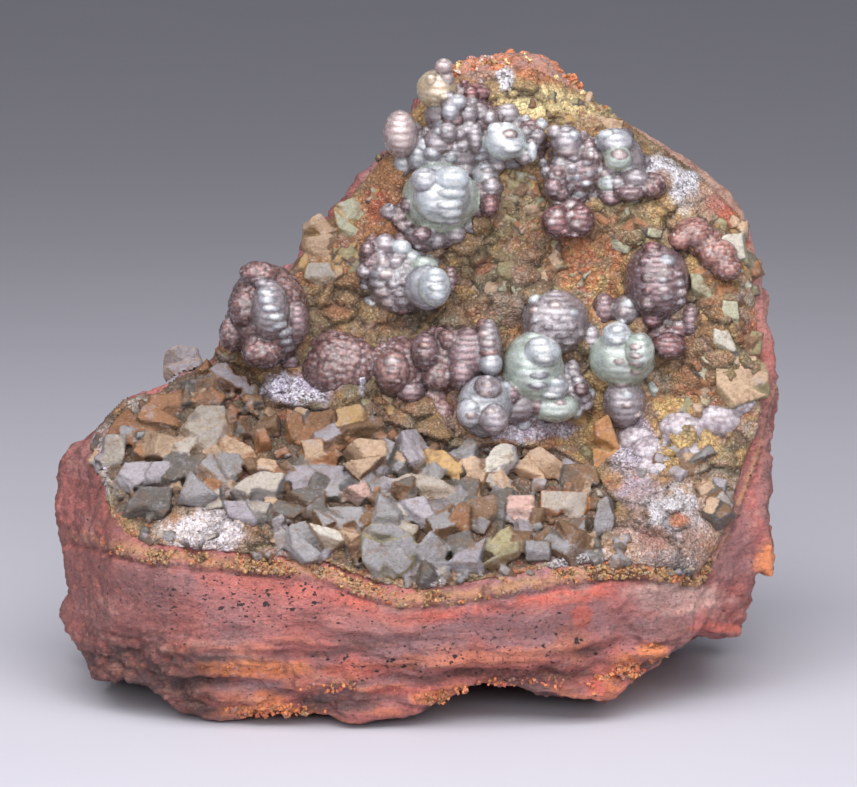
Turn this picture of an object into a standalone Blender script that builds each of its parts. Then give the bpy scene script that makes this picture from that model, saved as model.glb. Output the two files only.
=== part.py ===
"""Tilasite on ironstone: a broken slab whose hollow front is lined with crystals.

Flat measurements are millimetres as seen from the front, from slightly above:
u runs right from the middle of the slab and v runs up from its lowest edge.
Depths are millimetres along +Y, away from the viewer.
"""

import math
import random

import bmesh
import bpy
import numpy as np
from mathutils import Euler, Matrix, Vector, noise
from mathutils.bvhtree import BVHTree
from mathutils.geometry import delaunay_2d_cdt

MM = 0.001

# The sight line that the flat measurements are taken along
VIEW_TILT = math.radians(12)
VIEW_DISTANCE = 430
VIEW_MIDDLE = 33
VIEW_HEIGHT = 30

# Spacing of the rock's facets
EDGE_STEP = 2.3
FRONT_STEP = 2.2
FRONT_MARGIN = 0.9
BACK_STEP = 4.6
BACK_MARGIN = 1.8
SIDE_ROWS = 3
SIDE_HOLLOW = 1.6

# Broken surface: chip size, height and lean
SMALL_CHIPS = (3.1, 1.0, 0.9)
LARGE_CHIPS = (7.5, 1.2, 0.8)
BACK_CHIPS = (8.5, 3.2, 1.1)

# Gaps between one mineral and the next
CRUST_GAP = 0.45
LOBE_GAP = 0.7
CRUST_SINK = 0.3
SIDE_GAP = 0.35

# The crystals' common base and the smaller crystals between the large ones
CRUST_THICKNESS = 1.45
CRUST_WAVES = 0.7
BLOCK_DEPTH = 3.4
FILLER_STEP = 4.4
FILLER_MARGIN = 1.2
FILLER_SKEW = Matrix(((1, 0.28, 0), (0, 1, 0.2), (0, 0, 1)))
FILLER_TURN = 0.9
LEDGE_TOP = 33
LEDGE_FILLER = (2.0, 3.4)
WALL_FILLER = (1.8, 2.8)

# Knobs wider than this have finer facets
LARGE_LOBE = 1.9

# Triangles that the bodies are simplified to, and share of a cut group's that is kept
CRUST_UNION_TRIANGLES = 4200
CRUST_TRIANGLES = 3780
LOBE_TRIANGLES = 20
LOBE_CUTTER_TRIANGLES = 16
LOBE_KEPT_SHARE = 0.62

SEED = 33

# Outline of the rock, clockwise from its peak
ROCK_OUTLINE = [
    (12.9, 67.0), (14.9, 65.2), (18.4, 62.1), (22.4, 59.6), (28.4, 55.9), (31.9, 52.9),
    (33.2, 50.9), (33.6, 48.4), (34.4, 45.9), (34.6, 43.4), (35.4, 39.4), (36.0, 36.4),
    (36.2, 33.4), (36.0, 30.4), (35.6, 27.4), (35.4, 25.4), (35.7, 23.4), (35.6, 20.4),
    (35.8, 17.9), (36.1, 14.4), (34.7, 14.9), (34.1, 15.9), (33.5, 13.6), (32.9, 11.4),
    (32.2, 8.9), (28.4, 8.6), (26.4, 7.9), (24.4, 6.4), (22.4, 4.9), (19.6, 2.6),
    (17.4, 2.6), (14.4, 2.4), (11.9, 2.7), (10.4, 3.6), (7.4, 3.8), (5.4, 3.4),
    (2.4, 1.9), (0.4, 1.2), (-1.6, 1.2), (-5.1, 0.0), (-7.1, 0.4), (-9.6, 1.1),
    (-12.6, 0.9), (-15.4, 0.9), (-19.6, 0.2), (-21.6, 0.8), (-23.6, 1.2), (-26.6, 3.4),
    (-29.6, 4.4), (-32.6, 4.4), (-33.1, 6.4), (-34.1, 8.4), (-35.6, 9.9), (-36.1, 11.2),
    (-34.8, 13.4), (-35.4, 16.4), (-35.8, 18.4), (-36.0, 22.4), (-35.6, 25.9),
    (-34.4, 27.4), (-33.0, 28.6), (-31.4, 30.4), (-29.4, 32.6), (-26.0, 33.4),
    (-23.6, 35.0), (-20.4, 36.2), (-19.2, 39.9), (-18.2, 43.4), (-16.6, 45.4),
    (-12.4, 46.0), (-11.4, 48.4), (-9.4, 50.9), (-6.9, 53.4), (-4.8, 55.9),
    (-2.6, 57.9), (-1.6, 60.0), (-0.8, 61.4), (0.2, 62.7), (1.4, 64.2), (2.6, 65.6),
    (4.9, 66.4), (7.4, 66.6), (10.4, 67.0),
]

# Depth of the rock's front: foot, face, lip, ledge, wall and the narrow upper side
FRONT_DEPTHS = [
    (-29.6, 4.4, -12), (-21.6, 0.8, -15), (-12.6, 0.9, -16), (-5.1, 0.2, -17),
    (2.4, 2.1, -16), (10.4, 3.6, -16), (17.4, 2.6, -15), (22.4, 5.2, -13),
    (28.4, 8.6, -9.5), (32.2, 8.9, -6),
    (-29.6, 10.4, -15), (-21.6, 8.4, -17), (-11.6, 8.4, -18.5), (-1.6, 7.4, -18.5),
    (6.4, 8.4, -18), (14.4, 9.4, -17), (22.4, 11.4, -14), (28.4, 12.4, -10.5),
    (33.4, 15.4, -6),
    (-31.1, 17.9, -14.5), (-26.6, 16.6, -17), (-21.6, 16.2, -18), (-9.6, 15.1, -19),
    (-5.6, 13.4, -19.5), (-1.6, 12.2, -20), (2.4, 12.4, -19.5), (8.4, 13.4, -19),
    (14.4, 14.4, -18), (19.4, 15.2, -16), (23.4, 15.9, -14), (27.4, 16.9, -10.5),
    (32.4, 20.4, -6.5), (34.4, 25.4, -4),
    (-35.9, 18.4, -3), (-35.9, 24.4, -1), (-35.6, 10.4, -5), (-33.6, 16.4, -9),
    (-33.1, 22.4, -6), (-30.8, 25.4, -9), (-31.1, 21.4, -12),
    (-26.6, 20.4, -12.5), (-21.6, 20.4, -13), (-11.6, 18.4, -15), (-1.6, 16.4, -16),
    (8.4, 16.4, -15), (18.4, 17.9, -12.5), (-29.6, 27.4, -5), (-21.6, 25.4, -8),
    (-11.6, 22.4, -10.5), (-1.6, 20.4, -12), (8.4, 20.4, -10.5), (18.4, 20.9, -8),
    (-31.6, 30.4, -1), (-23.6, 32.4, -1), (-16.6, 30.4, -3), (-11.6, 28.4, -5),
    (-6.6, 26.4, -7.5), (0.4, 25.4, -7), (8.4, 26.4, -5), (18.4, 25.4, -3.5),
    (-23.6, 36.4, 4), (-18.6, 34.4, 1.5), (-11.6, 32.4, -1), (-5.6, 30.4, -3),
    (1.4, 28.4, -4), (8.4, 28.4, -3),
    (-14.6, 35.4, 1.5), (-6.6, 33.4, 0), (1.4, 31.4, -0.5), (8.4, 29.9, -0.5),
    (14.4, 28.4, 0.5), (17.6, 28.4, 2.5), (22.4, 27.4, -0.5), (28.4, 27.4, -2),
    (34.0, 28.4, -2), (-17.6, 40.4, 3), (-11.6, 42.4, 3.5), (-6.6, 38.4, 2),
    (-1.6, 39.4, 2.5), (6.4, 39.4, 2), (12.4, 38.4, 2), (18.4, 39.4, 2),
    (24.4, 39.4, 1.5), (30.4, 38.4, 0.5), (34.9, 38.4, 1.5), (-8.6, 49.4, 6.5),
    (-3.6, 49.4, 5.5), (2.4, 49.4, 5), (8.4, 48.4, 4.5), (14.4, 48.4, 5),
    (20.4, 49.4, 4.5), (26.4, 49.4, 4), (32.4, 48.4, 4.5), (-1.6, 57.4, 7.5),
    (3.4, 57.4, 7), (9.4, 57.4, 7), (15.4, 56.4, 7), (22.4, 55.4, 6.5),
    (28.0, 53.2, 6.5), (2.4, 65.0, 10), (8.4, 65.4, 9.5), (12.4, 66.0, 10.5),
    (13.9, 64.2, 9), (17.4, 61.3, 8), (21.4, 58.8, 7.5), (27.2, 54.6, 7),
    (31.0, 51.4, 6.5), (14.9, 65.2, 13.5), (18.4, 62.1, 13.5), (22.4, 59.6, 13.5),
    (28.4, 55.9, 13.5), (31.9, 52.9, 12), (33.2, 50.6, 9),
]

# Depth of the rock's back
BACK_DEPTHS = [
    (-35.9, 18.4, 6), (-35.6, 26.4, 7), (-31.6, 32.4, 9), (-25.1, 37.4, 12),
    (-20.1, 40.2, 13), (-16.6, 45.4, 13), (-11.6, 47.4, 14), (-6.6, 53.4, 15),
    (-1.6, 60.9, 16), (2.4, 65.4, 16.5), (12.9, 66.4, 17), (22.4, 59.4, 17.5),
    (31.9, 52.4, 16), (35.9, 37.4, 12), (35.9, 27.4, 12), (35.6, 17.4, 10),
    (32.2, 8.9, 10), (22.4, 5.2, 14), (14.4, 2.4, 16), (2.4, 2.1, 17.5),
    (-5.1, 0.2, 18), (-12.6, 0.9, 17), (-21.6, 0.8, 15), (-29.6, 4.4, 10),
    (-33.1, 6.4, 7), (0.0, 32.4, 23), (-11.6, 22.4, 21), (13.4, 22.4, 22),
    (8.4, 47.4, 21), (20.4, 42.4, 20), (-18.0, 14.4, 20), (20.4, 14.4, 20),
]

# The part of the front that the crystals cover
CRUST_OUTLINE = [
    (-33.0, 28.2), (-31.2, 30.8), (-28.6, 33.4), (-25.4, 34.2), (-23.4, 36.2),
    (-20.0, 37.4), (-18.9, 42.0), (-16.9, 45.4), (-12.4, 45.6), (-10.6, 48.6),
    (-6.6, 53.2), (-3.4, 57.0), (-1.2, 60.4), (1.4, 64.0), (5.4, 65.6), (12.4, 65.8),
    (17.9, 61.2), (27.6, 54.2), (31.8, 50.6), (33.4, 45.2), (34.4, 39.4), (35.0, 33.2),
    (34.6, 29.4), (32.0, 26.6), (28.0, 24.6), (24.4, 22.4), (22.0, 18.6), (18.6, 16.2),
    (14.0, 15.2), (8.6, 14.4), (2.4, 13.4), (-1.6, 13.2), (-5.6, 14.4), (-9.6, 16.0),
    (-21.6, 17.2), (-26.6, 17.6), (-30.4, 18.8), (-31.2, 22.4), (-31.6, 25.6),
]

# Blocky crystals: seen face, how far it stands out, its lean across and up, and
# the way its back runs off across and up
BLOCKS = {
    "far_left_top": ([(-25.1, 37.4), (-23.8, 38.0), (-21.8, 37.6), (-21.3, 36.2),
                      (-22.1, 34.6), (-24.4, 33.6), (-25.3, 35.2)], 1.6, (0.2, 0.5), (0, -0.6)),
    "upper_left": ([(-21.6, 33.9), (-20.9, 35.4), (-20.1, 36.1), (-18.9, 36.2),
                    (-18.1, 34.9), (-16.9, 34.8), (-16.8, 33.6)], 2.6, (0.3, 0.7), (0.9, -1.0)),
    "left_wedge": ([(-26.6, 33.0), (-23.8, 33.2), (-22.8, 31.8), (-23.6, 29.6),
                    (-26.4, 29.0), (-28.0, 30.8)], 1.8, (0.1, 0.9), (0.2, -0.8)),
    "pale_left": ([(-22.9, 31.0), (-21.6, 31.9), (-19.1, 31.9), (-18.8, 29.4),
                   (-19.8, 28.4), (-20.1, 26.4), (-22.1, 26.1), (-24.4, 26.9),
                   (-24.4, 28.4)], 3.0, (0.15, 0.35), (0.3, -0.7)),
    "left_end": ([(-31.1, 28.9), (-28.8, 29.1), (-29.2, 26.4), (-30.1, 24.9),
                  (-31.4, 25.6)], 1.4, (-0.3, 0.3), (-0.3, -0.4)),
    "left_flat": ([(-30.3, 24.4), (-29.1, 26.2), (-24.6, 26.4), (-24.4, 24.4),
                   (-27.6, 24.0), (-29.8, 23.2)], 2.2, (0, 0.8), (0, -0.8)),
    "dark_left": ([(-29.4, 20.6), (-29.1, 21.9), (-27.6, 23.8), (-24.4, 23.7),
                   (-24.6, 21.4), (-25.6, 20.5)], 2.4, (0.1, 0.2), (0, -0.5)),
    "grey_left": ([(-23.8, 22.7), (-22.6, 25.4), (-21.6, 24.4), (-19.8, 22.9),
                   (-21.6, 21.8), (-24.0, 22.1)], 2.6, (-0.2, 0.4), (0.2, -0.5)),
    "brown_slope": ([(-20.1, 29.1), (-18.1, 28.7), (-16.1, 27.4), (-15.4, 25.4),
                     (-20.0, 26.9)], 1.6, (0.2, 0.8), (0.2, -0.8)),
    "splinter_high": ([(-13.0, 31.6), (-11.4, 31.0), (-11.0, 28.0), (-12.4, 27.0),
                       (-13.4, 28.6)], 1.8, (0.4, 0.2), (0.6, -0.3)),
    "grey_large": ([(-18.8, 23.4), (-17.1, 24.7), (-15.4, 25.4), (-13.1, 25.1),
                    (-14.6, 21.9), (-15.4, 19.9), (-17.6, 22.4)], 3.0, (0.2, 0.5), (0.3, -0.8)),
    "lilac_low": ([(-19.4, 22.4), (-17.2, 22.4), (-15.8, 20.4), (-16.6, 19.2),
                   (-18.8, 20.9)], 2.4, (0, 0.2), (0.1, -0.5)),
    "dark_middle": ([(-14.9, 20.4), (-13.6, 22.9), (-11.6, 23.7), (-9.1, 23.4),
                     (-9.1, 20.9)], 2.2, (0.1, 0.7), (0.2, -0.8)),
    "grey_lip_left": ([(-13.3, 17.9), (-12.6, 19.9), (-11.1, 20.4), (-9.6, 18.4),
                       (-9.8, 16.4), (-11.6, 16.1)], 2.6, (0.1, 0.4), (0.2, -0.6)),
    "pale_triangle": ([(-10.8, 20.2), (-7.6, 19.4), (-7.1, 18.4), (-8.8, 17.4)],
                      2.4, (0.2, 0.5), (0, -0.8)),
    "lilac_flat": ([(-12.6, 25.9), (-7.4, 25.9), (-7.0, 24.0), (-9.6, 23.5),
                    (-12.8, 24.4)], 1.8, (0, 0.9), (0, -0.7)),
    "tan_large": ([(-7.6, 26.2), (-7.9, 27.9), (-5.6, 28.7), (-3.1, 28.4), (-2.9, 27.2),
                   (-4.6, 25.6), (-5.9, 24.6)], 3.2, (0.1, 0.6), (0.9, -1.1)),
    "ochre_upper": ([(-8.1, 31.6), (-5.6, 32.1), (-4.4, 30.6), (-5.6, 29.4), (-7.8, 29.6)],
                    1.9, (0.1, 0.6), (0.2, -0.7)),
    "grey_small": ([(-5.6, 29.4), (-4.4, 31.0), (-3.6, 29.1)], 1.8, (0.3, 0.3), (0.3, -0.5)),
    "tan_left": ([(-11.6, 28.4), (-9.4, 28.6), (-9.0, 26.4), (-10.8, 25.8)],
                 1.8, (-0.1, 0.4), (0.1, -0.5)),
    "pink_beige": ([(-8.1, 23.2), (-6.6, 23.9), (-4.8, 24.2), (-4.4, 23.2), (-5.8, 21.9)],
                   2.4, (0.1, 0.5), (0.2, -0.7)),
    "grey_step": ([(-9.1, 21.7), (-5.1, 21.8), (-5.8, 20.4), (-8.4, 20.4)],
                  2.2, (0, 0.6), (0, -0.6)),
    "long_wedge": ([(-2.4, 24.4), (-0.6, 25.2), (2.4, 24.6), (4.1, 23.7), (4.6, 22.9),
                    (0.4, 23.0)], 2.6, (0.1, 0.8), (0.2, -0.9)),
    "ochre_slot": ([(-0.6, 26.9), (0.9, 27.6), (2.9, 27.4), (4.4, 25.9), (4.4, 24.4),
                    (0.4, 25.9)], 1.9, (0.2, 0.6), (0.2, -0.6)),
    "lilac_middle": ([(-2.1, 22.4), (0.9, 22.9), (2.1, 20.4), (0.9, 19.4), (-1.4, 21.4)],
                     2.2, (0.2, 0.5), (0.1, -0.7)),
    "largest_lip": ([(-5.6, 19.4), (-4.4, 20.1), (-2.1, 19.9), (-0.6, 19.2), (0.1, 17.9),
                     (-0.4, 15.9), (-1.6, 14.9), (-4.1, 14.7), (-5.4, 16.2)],
                    3.2, (0.05, 0.3), (0.3, -0.5)),
    "grey_right_of_it": ([(-0.3, 15.9), (0.2, 17.9), (1.4, 19.4), (3.4, 17.6), (1.9, 14.9)],
                         2.4, (0.4, 0.2), (0.3, -0.4)),
    "orange_brown": ([(2.9, 18.9), (3.4, 20.9), (4.4, 22.4), (5.4, 21.9), (5.4, 19.4),
                      (4.6, 17.9)], 2.2, (0.3, 0.2), (0.3, -0.4)),
    "brown_slab": ([(4.9, 22.4), (7.9, 23.1), (8.1, 20.9), (6.9, 19.4)],
                   2.1, (0.1, 0.5), (0.2, -0.6)),
    "lilac_lip": ([(2.4, 15.9), (5.4, 17.6), (7.1, 18.9), (6.4, 16.4), (7.1, 14.9),
                   (3.4, 14.9)], 2.2, (0, 0.4), (0.1, -0.5)),
    "beige_oval": ([(6.9, 25.4), (7.4, 27.4), (8.4, 28.2), (9.9, 27.9), (10.2, 26.4),
                    (8.9, 24.9)], 2.6, (0.1, 0.3), (0.2, -0.6)),
    "tan_hood": ([(9.7, 25.4), (11.4, 27.4), (12.4, 27.9), (14.4, 26.4), (15.9, 24.9),
                  (10.4, 24.6)], 2.6, (0.1, 0.6), (0.3, -0.8)),
    "pink_grey": ([(8.4, 22.9), (11.9, 22.9), (11.9, 20.4), (8.9, 20.6)],
                  2.0, (0.1, 0.6), (0.1, -0.6)),
    "olive_lip": ([(6.4, 16.4), (6.9, 17.9), (8.4, 19.4), (9.4, 19.9), (10.6, 18.4),
                   (10.4, 16.9), (7.4, 15.4)], 2.5, (0.1, 0.4), (0.2, -0.6)),
    "grey_lip_right": ([(10.9, 18.4), (13.4, 18.4), (13.4, 16.4), (10.9, 16.4)],
                       2.0, (0.2, 0.4), (0.2, -0.5)),
    "beige_right": ([(12.4, 23.4), (17.2, 23.2), (17.0, 20.6), (12.6, 20.4)],
                    1.9, (0.3, 0.6), (0.2, -0.7)),
    "grey_upright": ([(18.2, 22.4), (19.2, 22.9), (19.9, 20.4), (19.4, 18.4), (18.4, 17.9),
                      (17.4, 18.4)], 2.5, (0.3, 0.1), (0.4, -0.3)),
    "yellow_upright": ([(17.6, 30.0), (19.2, 31.0), (20.4, 27.6), (19.6, 23.6),
                        (17.8, 24.2)], 2.0, (0.5, 0.1), (0.4, -0.3)),
    "ochre_slope": ([(14.9, 32.4), (17.0, 31.6), (17.2, 29.8), (15.2, 29.2)],
                    1.7, (0.2, 0.6), (0.2, -0.5)),
    "wall_pink_tan": ([(-11.4, 50.2), (-9.6, 51.2), (-7.8, 49.2), (-8.6, 46.4), (-10.9, 46.6),
                       (-11.6, 48.0)], 1.6, (0.2, 0.2), (0.2, -0.5)),
    "wall_green_grey": ([(-8.4, 51.8), (-6.2, 52.8), (-4.6, 51.0), (-5.4, 48.4),
                         (-7.6, 48.8)], 1.5, (0.2, 0.3), (0.2, -0.5)),
    "wall_beige": ([(-11.0, 46.2), (-8.6, 46.2), (-8.0, 44.6), (-9.8, 43.6), (-11.2, 44.6)],
                   1.5, (0.1, 0.3), (0.1, -0.5)),
    "wall_pebble_low": ([(6.0, 44.4), (7.4, 44.6), (8.2, 43.4), (7.4, 42.0), (5.8, 42.2),
                         (5.2, 43.2)], 1.3, (0.1, 0.2), (0.1, -0.3)),
    "wall_pebble_high": ([(8.2, 46.2), (9.8, 46.4), (10.2, 45.0), (9.0, 43.8), (7.9, 44.8)],
                         1.3, (0.1, 0.2), (0.1, -0.3)),
    "wall_pebble_right": ([(9.4, 43.8), (11.0, 44.2), (11.0, 42.4), (9.8, 41.8)],
                          1.2, (0.2, 0.2), (0.1, -0.3)),
    "wall_cobbles": ([(7.8, 54.4), (10.2, 54.8), (12.2, 53.0), (12.0, 49.6), (9.0, 48.6),
                      (7.4, 51.4)], 1.6, (0.1, 0.2), (0.1, -0.5)),
    "wall_white": ([(30.6, 48.9), (32.6, 49.1), (33.0, 46.6), (31.6, 46.2), (30.4, 47.2)],
                   1.6, (0.3, 0.2), (0.2, -0.4)),
    "wall_grey_green": ([(27.4, 45.2), (28.4, 45.0), (29.6, 43.2), (29.4, 42.0),
                         (27.6, 42.2)], 1.5, (0.3, 0.2), (0.2, -0.4)),
    "wall_olive": ([(30.6, 42.4), (32.2, 42.2), (32.4, 39.9), (30.6, 39.9)],
                   1.3, (0.2, 0.2), (0.2, -0.4)),
    "wall_pale": ([(29.8, 39.6), (31.4, 39.2), (32.1, 37.4), (30.2, 37.1), (29.6, 38.2)],
                  1.5, (0.2, 0.2), (0.2, -0.4)),
    "wall_large_olive": ([(29.9, 36.4), (32.4, 37.2), (35.2, 36.0), (35.4, 33.0),
                          (31.4, 31.6), (30.0, 33.4)], 1.8, (0.3, 0.3), (0.2, -0.6)),
    "wall_top_slab": ([(17.4, 61.0), (20.8, 60.4), (20.6, 58.9), (17.6, 59.4)],
                      1.2, (0.1, 0.6), (0.1, -0.5)),
}

# Rounded tilasite groups: place, half width, half height, share of it sunk in
# what is behind it; the first ones are the bodies that the others sit on
LOBES = {
    "tilasite_top_left": [
        (3.9, 58.2, 2.8, 2.8, 0.7), (3.4, 62.0, 2.0, 1.8, 0.6), (6.8, 59.8, 2.4, 2.2, 0.6),
        (11.4, 58.6, 2.0, 1.6, 0.6), (3.9, 49.2, 2.4, 1.3, 0.6), (2.5, 52.7, 3.8, 3.5, 0.3),
        (3.6, 60.6, 1.3, 1.2, 0.4), (2.1, 63.7, 2.0, 2.0, 0.4), (2.6, 65.5, 1.1, 1.0, 0.3),
        (-1.7, 58.7, 1.75, 2.45, 0.3), (-1.8, 60.4, 1.3, 1.2, 0.6),
        (-1.1, 56.1, 1.3, 1.4, 0.4), (2.2, 57.7, 1.8, 1.6, 0.6), (0.4, 56.7, 1.2, 1.3, 0.5),
        (3.6, 56.6, 1.2, 1.1, 0.5), (6.2, 61.2, 1.3, 1.3, 0.4), (9.1, 60.9, 1.7, 1.6, 0.4),
        (9.1, 58.5, 2.15, 2.0, 0.5), (7.1, 55.2, 1.7, 1.6, 0.4), (6.3, 57.0, 1.2, 1.0, 0.4),
        (8.4, 56.0, 1.0, 1.0, 0.4), (9.9, 56.2, 1.2, 1.0, 0.4), (12.4, 59.7, 1.0, 1.0, 0.2),
        (11.5, 57.2, 1.1, 1.4, 0.3), (5.6, 50.4, 1.4, 1.2, 0.5), (7.2, 51.4, 1.1, 1.1, 0.4),
        (0.9, 49.6, 1.3, 1.1, 0.4), (-1.1, 50.0, 1.3, 1.2, 0.4),
    ],
    "tilasite_top_right": [
        (17.4, 55.4, 3.4, 2.8, 0.7), (20.4, 54.8, 2.2, 1.6, 0.5), (15.1, 58.1, 1.6, 1.7, 0.3),
        (13.9, 59.0, 1.0, 1.0, 0.3), (19.6, 58.1, 2.0, 1.8, 0.3), (20.4, 56.5, 1.35, 1.3, 0.5),
        (14.5, 55.7, 1.1, 1.1, 0.3),
        (15.8, 55.4, 1.0, 0.9, 0.5), (17.3, 55.9, 1.0, 1.1, 0.6), (16.6, 52.8, 1.5, 1.3, 0.3),
        (19.3, 54.0, 1.1, 1.0, 0.5), (21.6, 54.2, 1.4, 1.1, 0.3), (19.0, 52.6, 1.2, 1.0, 0.3),
        (23.0, 53.4, 1.8, 1.1, 0.5), (14.9, 50.9, 2.9, 2.3, 0.2), (14.1, 51.6, 0.9, 0.9, 0.6),
        (15.6, 51.6, 0.9, 0.9, 0.6), (13.6, 50.2, 0.9, 0.8, 0.6), (16.1, 50.0, 0.9, 0.8, 0.6),
    ],
    "tilasite_horns": [
        (-1.1, 44.4, 4.0, 3.6, 0.8), (-1.3, 47.6, 1.1, 1.0, 0.2), (-0.3, 46.5, 1.2, 1.1, 0.2),
        (0.8, 45.2, 1.4, 1.4, 0.2), (1.7, 43.6, 1.75, 1.95, 0.2), (-3.1, 46.0, 1.3, 1.3, 0.3),
        (-3.7, 44.1, 1.3, 1.3, 0.3), (-4.5, 42.4, 1.15, 1.1, 0.2), (-1.6, 43.2, 1.4, 1.4, 0.5),
        (-0.6, 42.2, 1.3, 1.0, 0.4), (-2.4, 42.0, 1.3, 1.0, 0.4), (-2.9, 47.8, 1.1, 1.0, 0.3),
    ],
    "tilasite_left_egg": [
        (-14.8, 40.9, 4.0, 5.0, 0.4), (-15.8, 45.2, 1.8, 1.2, 0.4),
        (-15.2, 43.9, 1.0, 1.1, 0.6), (-14.7, 42.4, 1.1, 1.0, 0.6), (-14.3, 40.9, 1.2, 1.1, 0.6),
        (-13.7, 39.3, 1.2, 1.2, 0.6), (-13.1, 38.1, 1.2, 1.0, 0.6), (-17.2, 41.4, 1.3, 1.6, 0.5),
        (-11.7, 40.2, 1.2, 2.0, 0.5), (-12.6, 36.2, 1.2, 1.1, 0.4), (-15.4, 37.4, 1.8, 1.4, 0.5),
        (-18.5, 39.0, 1.2, 1.6, 0.3),
    ],
    "tilasite_band": [
        (-6.6, 36.2, 4.0, 3.8, 0.75), (-1.8, 35.2, 3.2, 3.4, 0.7), (2.6, 36.2, 3.2, 3.4, 0.7),
        (5.4, 37.4, 2.4, 2.4, 0.5),
        (-1.1, 37.4, 1.0, 1.0, 0.5), (-2.1, 35.6, 1.1, 1.1, 0.5), (1.0, 37.0, 1.0, 1.2, 0.5),
        (2.4, 38.4, 1.0, 1.2, 0.4), (4.6, 38.6, 1.2, 1.2, 0.4), (6.6, 39.4, 1.0, 1.1, 0.2),
        (7.0, 38.0, 1.2, 1.3, 0.2), (7.4, 36.6, 1.3, 1.4, 0.2), (2.1, 32.9, 1.5, 1.9, 0.3),
        (2.4, 31.0, 1.4, 1.4, 0.3), (-0.6, 33.2, 1.6, 1.2, 0.4),
    ],
    "tilasite_centre": [
        (10.2, 33.4, 3.0, 2.4, 0.5), (13.4, 33.2, 2.4, 2.4, 0.5),
        (12.5, 40.8, 2.1, 2.3, 0.2), (15.3, 39.9, 2.0, 2.3, 0.2), (12.1, 35.6, 3.2, 3.5, 0.2),
        (12.5, 37.2, 1.85, 1.8, 0.7), (13.9, 33.7, 1.4, 1.2, 0.5), (15.6, 35.4, 1.2, 1.5, 0.3),
        (13.7, 31.4, 2.7, 1.5, 0.4), (6.9, 32.9, 2.4, 2.1, 0.2), (5.4, 30.9, 1.5, 1.6, 0.4),
        (7.6, 30.1, 1.6, 1.7, 0.4), (9.6, 31.6, 1.6, 1.4, 0.5), (18.9, 40.2, 1.8, 2.0, 0.6),
        (20.1, 39.1, 1.5, 1.55, 0.3), (21.6, 42.1, 1.2, 1.2, 0.3), (20.9, 40.8, 0.9, 0.9, 0.3),
        (19.9, 35.9, 3.2, 2.3, 0.3), (22.1, 36.6, 1.2, 1.6, 0.6), (23.7, 37.0, 1.0, 1.3, 0.4),
        (20.9, 32.4, 2.5, 2.2, 0.3), (20.6, 34.0, 1.3, 1.0, 0.6), (17.6, 38.2, 1.4, 1.5, 0.4),
    ],
    "tilasite_right": [
        (24.1, 44.2, 3.4, 4.0, 0.4), (23.5, 47.8, 1.1, 0.9, 0.4), (23.4, 46.5, 0.9, 0.9, 0.6),
        (25.0, 45.9, 1.0, 1.0, 0.5), (24.4, 44.2, 1.0, 0.9, 0.6), (24.6, 42.7, 1.0, 0.9, 0.6),
        (26.1, 43.1, 1.0, 1.4, 0.6), (23.4, 40.6, 1.1, 1.1, 0.3), (24.7, 40.1, 1.0, 1.0, 0.3),
        (26.2, 39.5, 1.25, 1.2, 0.3), (25.2, 38.0, 2.0, 1.4, 0.6), (27.6, 39.9, 1.3, 1.8, 0.5),
    ],
    "tilasite_low_right": [
        (22.6, 28.2, 2.8, 2.0, 0.7), (23.4, 26.8, 2.2, 2.0, 0.6), (26.6, 29.2, 2.8, 2.0, 0.7),
        (30.4, 30.4, 2.6, 2.0, 0.7), (24.0, 25.4, 2.6, 2.0, 0.7), (28.2, 26.8, 2.4, 1.6, 0.7),
        (32.4, 32.2, 1.6, 1.6, 0.6),
    ],
    "tilasite_ridge": [
        (27.4, 48.9, 2.1, 1.5, 0.5), (29.6, 47.3, 1.6, 1.5, 0.5), (30.8, 45.7, 1.2, 1.1, 0.4),
    ],
}

COLOURS = {
    "ironstone_matrix": (0.30, 0.10, 0.08),
    "crystal_crust": (0.42, 0.36, 0.29),
    "tilasite_top_left": (0.62, 0.72, 0.72),
    "tilasite_top_right": (0.45, 0.40, 0.43),
    "tilasite_horns": (0.55, 0.50, 0.55),
    "tilasite_left_egg": (0.42, 0.34, 0.36),
    "tilasite_band": (0.42, 0.27, 0.27),
    "tilasite_centre": (0.56, 0.60, 0.62),
    "tilasite_right": (0.40, 0.28, 0.34),
    "tilasite_low_right": (0.36, 0.24, 0.26),
    "tilasite_ridge": (0.38, 0.20, 0.19),
}


def clear_scene():
    """Remove what the file opened with."""
    for item in list(bpy.data.objects):
        bpy.data.objects.remove(item, do_unlink=True)


def seen(u, v, depth):
    """World point, in millimetres, that is seen at (u, v) and lies at a depth."""
    forward = Vector((0, math.cos(VIEW_TILT), -math.sin(VIEW_TILT)))
    upward = Vector((0, math.sin(VIEW_TILT), math.cos(VIEW_TILT)))
    middle = Vector((0, 0, VIEW_HEIGHT))
    eye = middle - forward * VIEW_DISTANCE
    target = middle + Vector((u, 0, 0)) + upward * (v - VIEW_MIDDLE)
    along = (target - eye).normalized()
    return eye + along * ((depth - eye.y) / along.y)


def surface_through(points):
    """Depth function that passes smoothly through the (u, v, depth) points."""
    table = np.array(points, float)
    places = table[:, :2]
    size = len(places)
    system = np.zeros((size + 3, size + 3))
    system[:size, :size] = np.linalg.norm(places[:, None] - places[None], axis=2)
    system[:size, size] = 1
    system[:size, size + 1:] = places
    system[size:, :size] = system[:size, size:].T
    target = np.zeros(size + 3)
    target[:size] = table[:, 2]
    weights = np.linalg.solve(system, target)

    def depth(u, v):
        reach = np.hypot(places[:, 0] - u, places[:, 1] - v)
        return float(reach @ weights[:size] + weights[size:] @ (1, u, v))

    return depth


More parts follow.
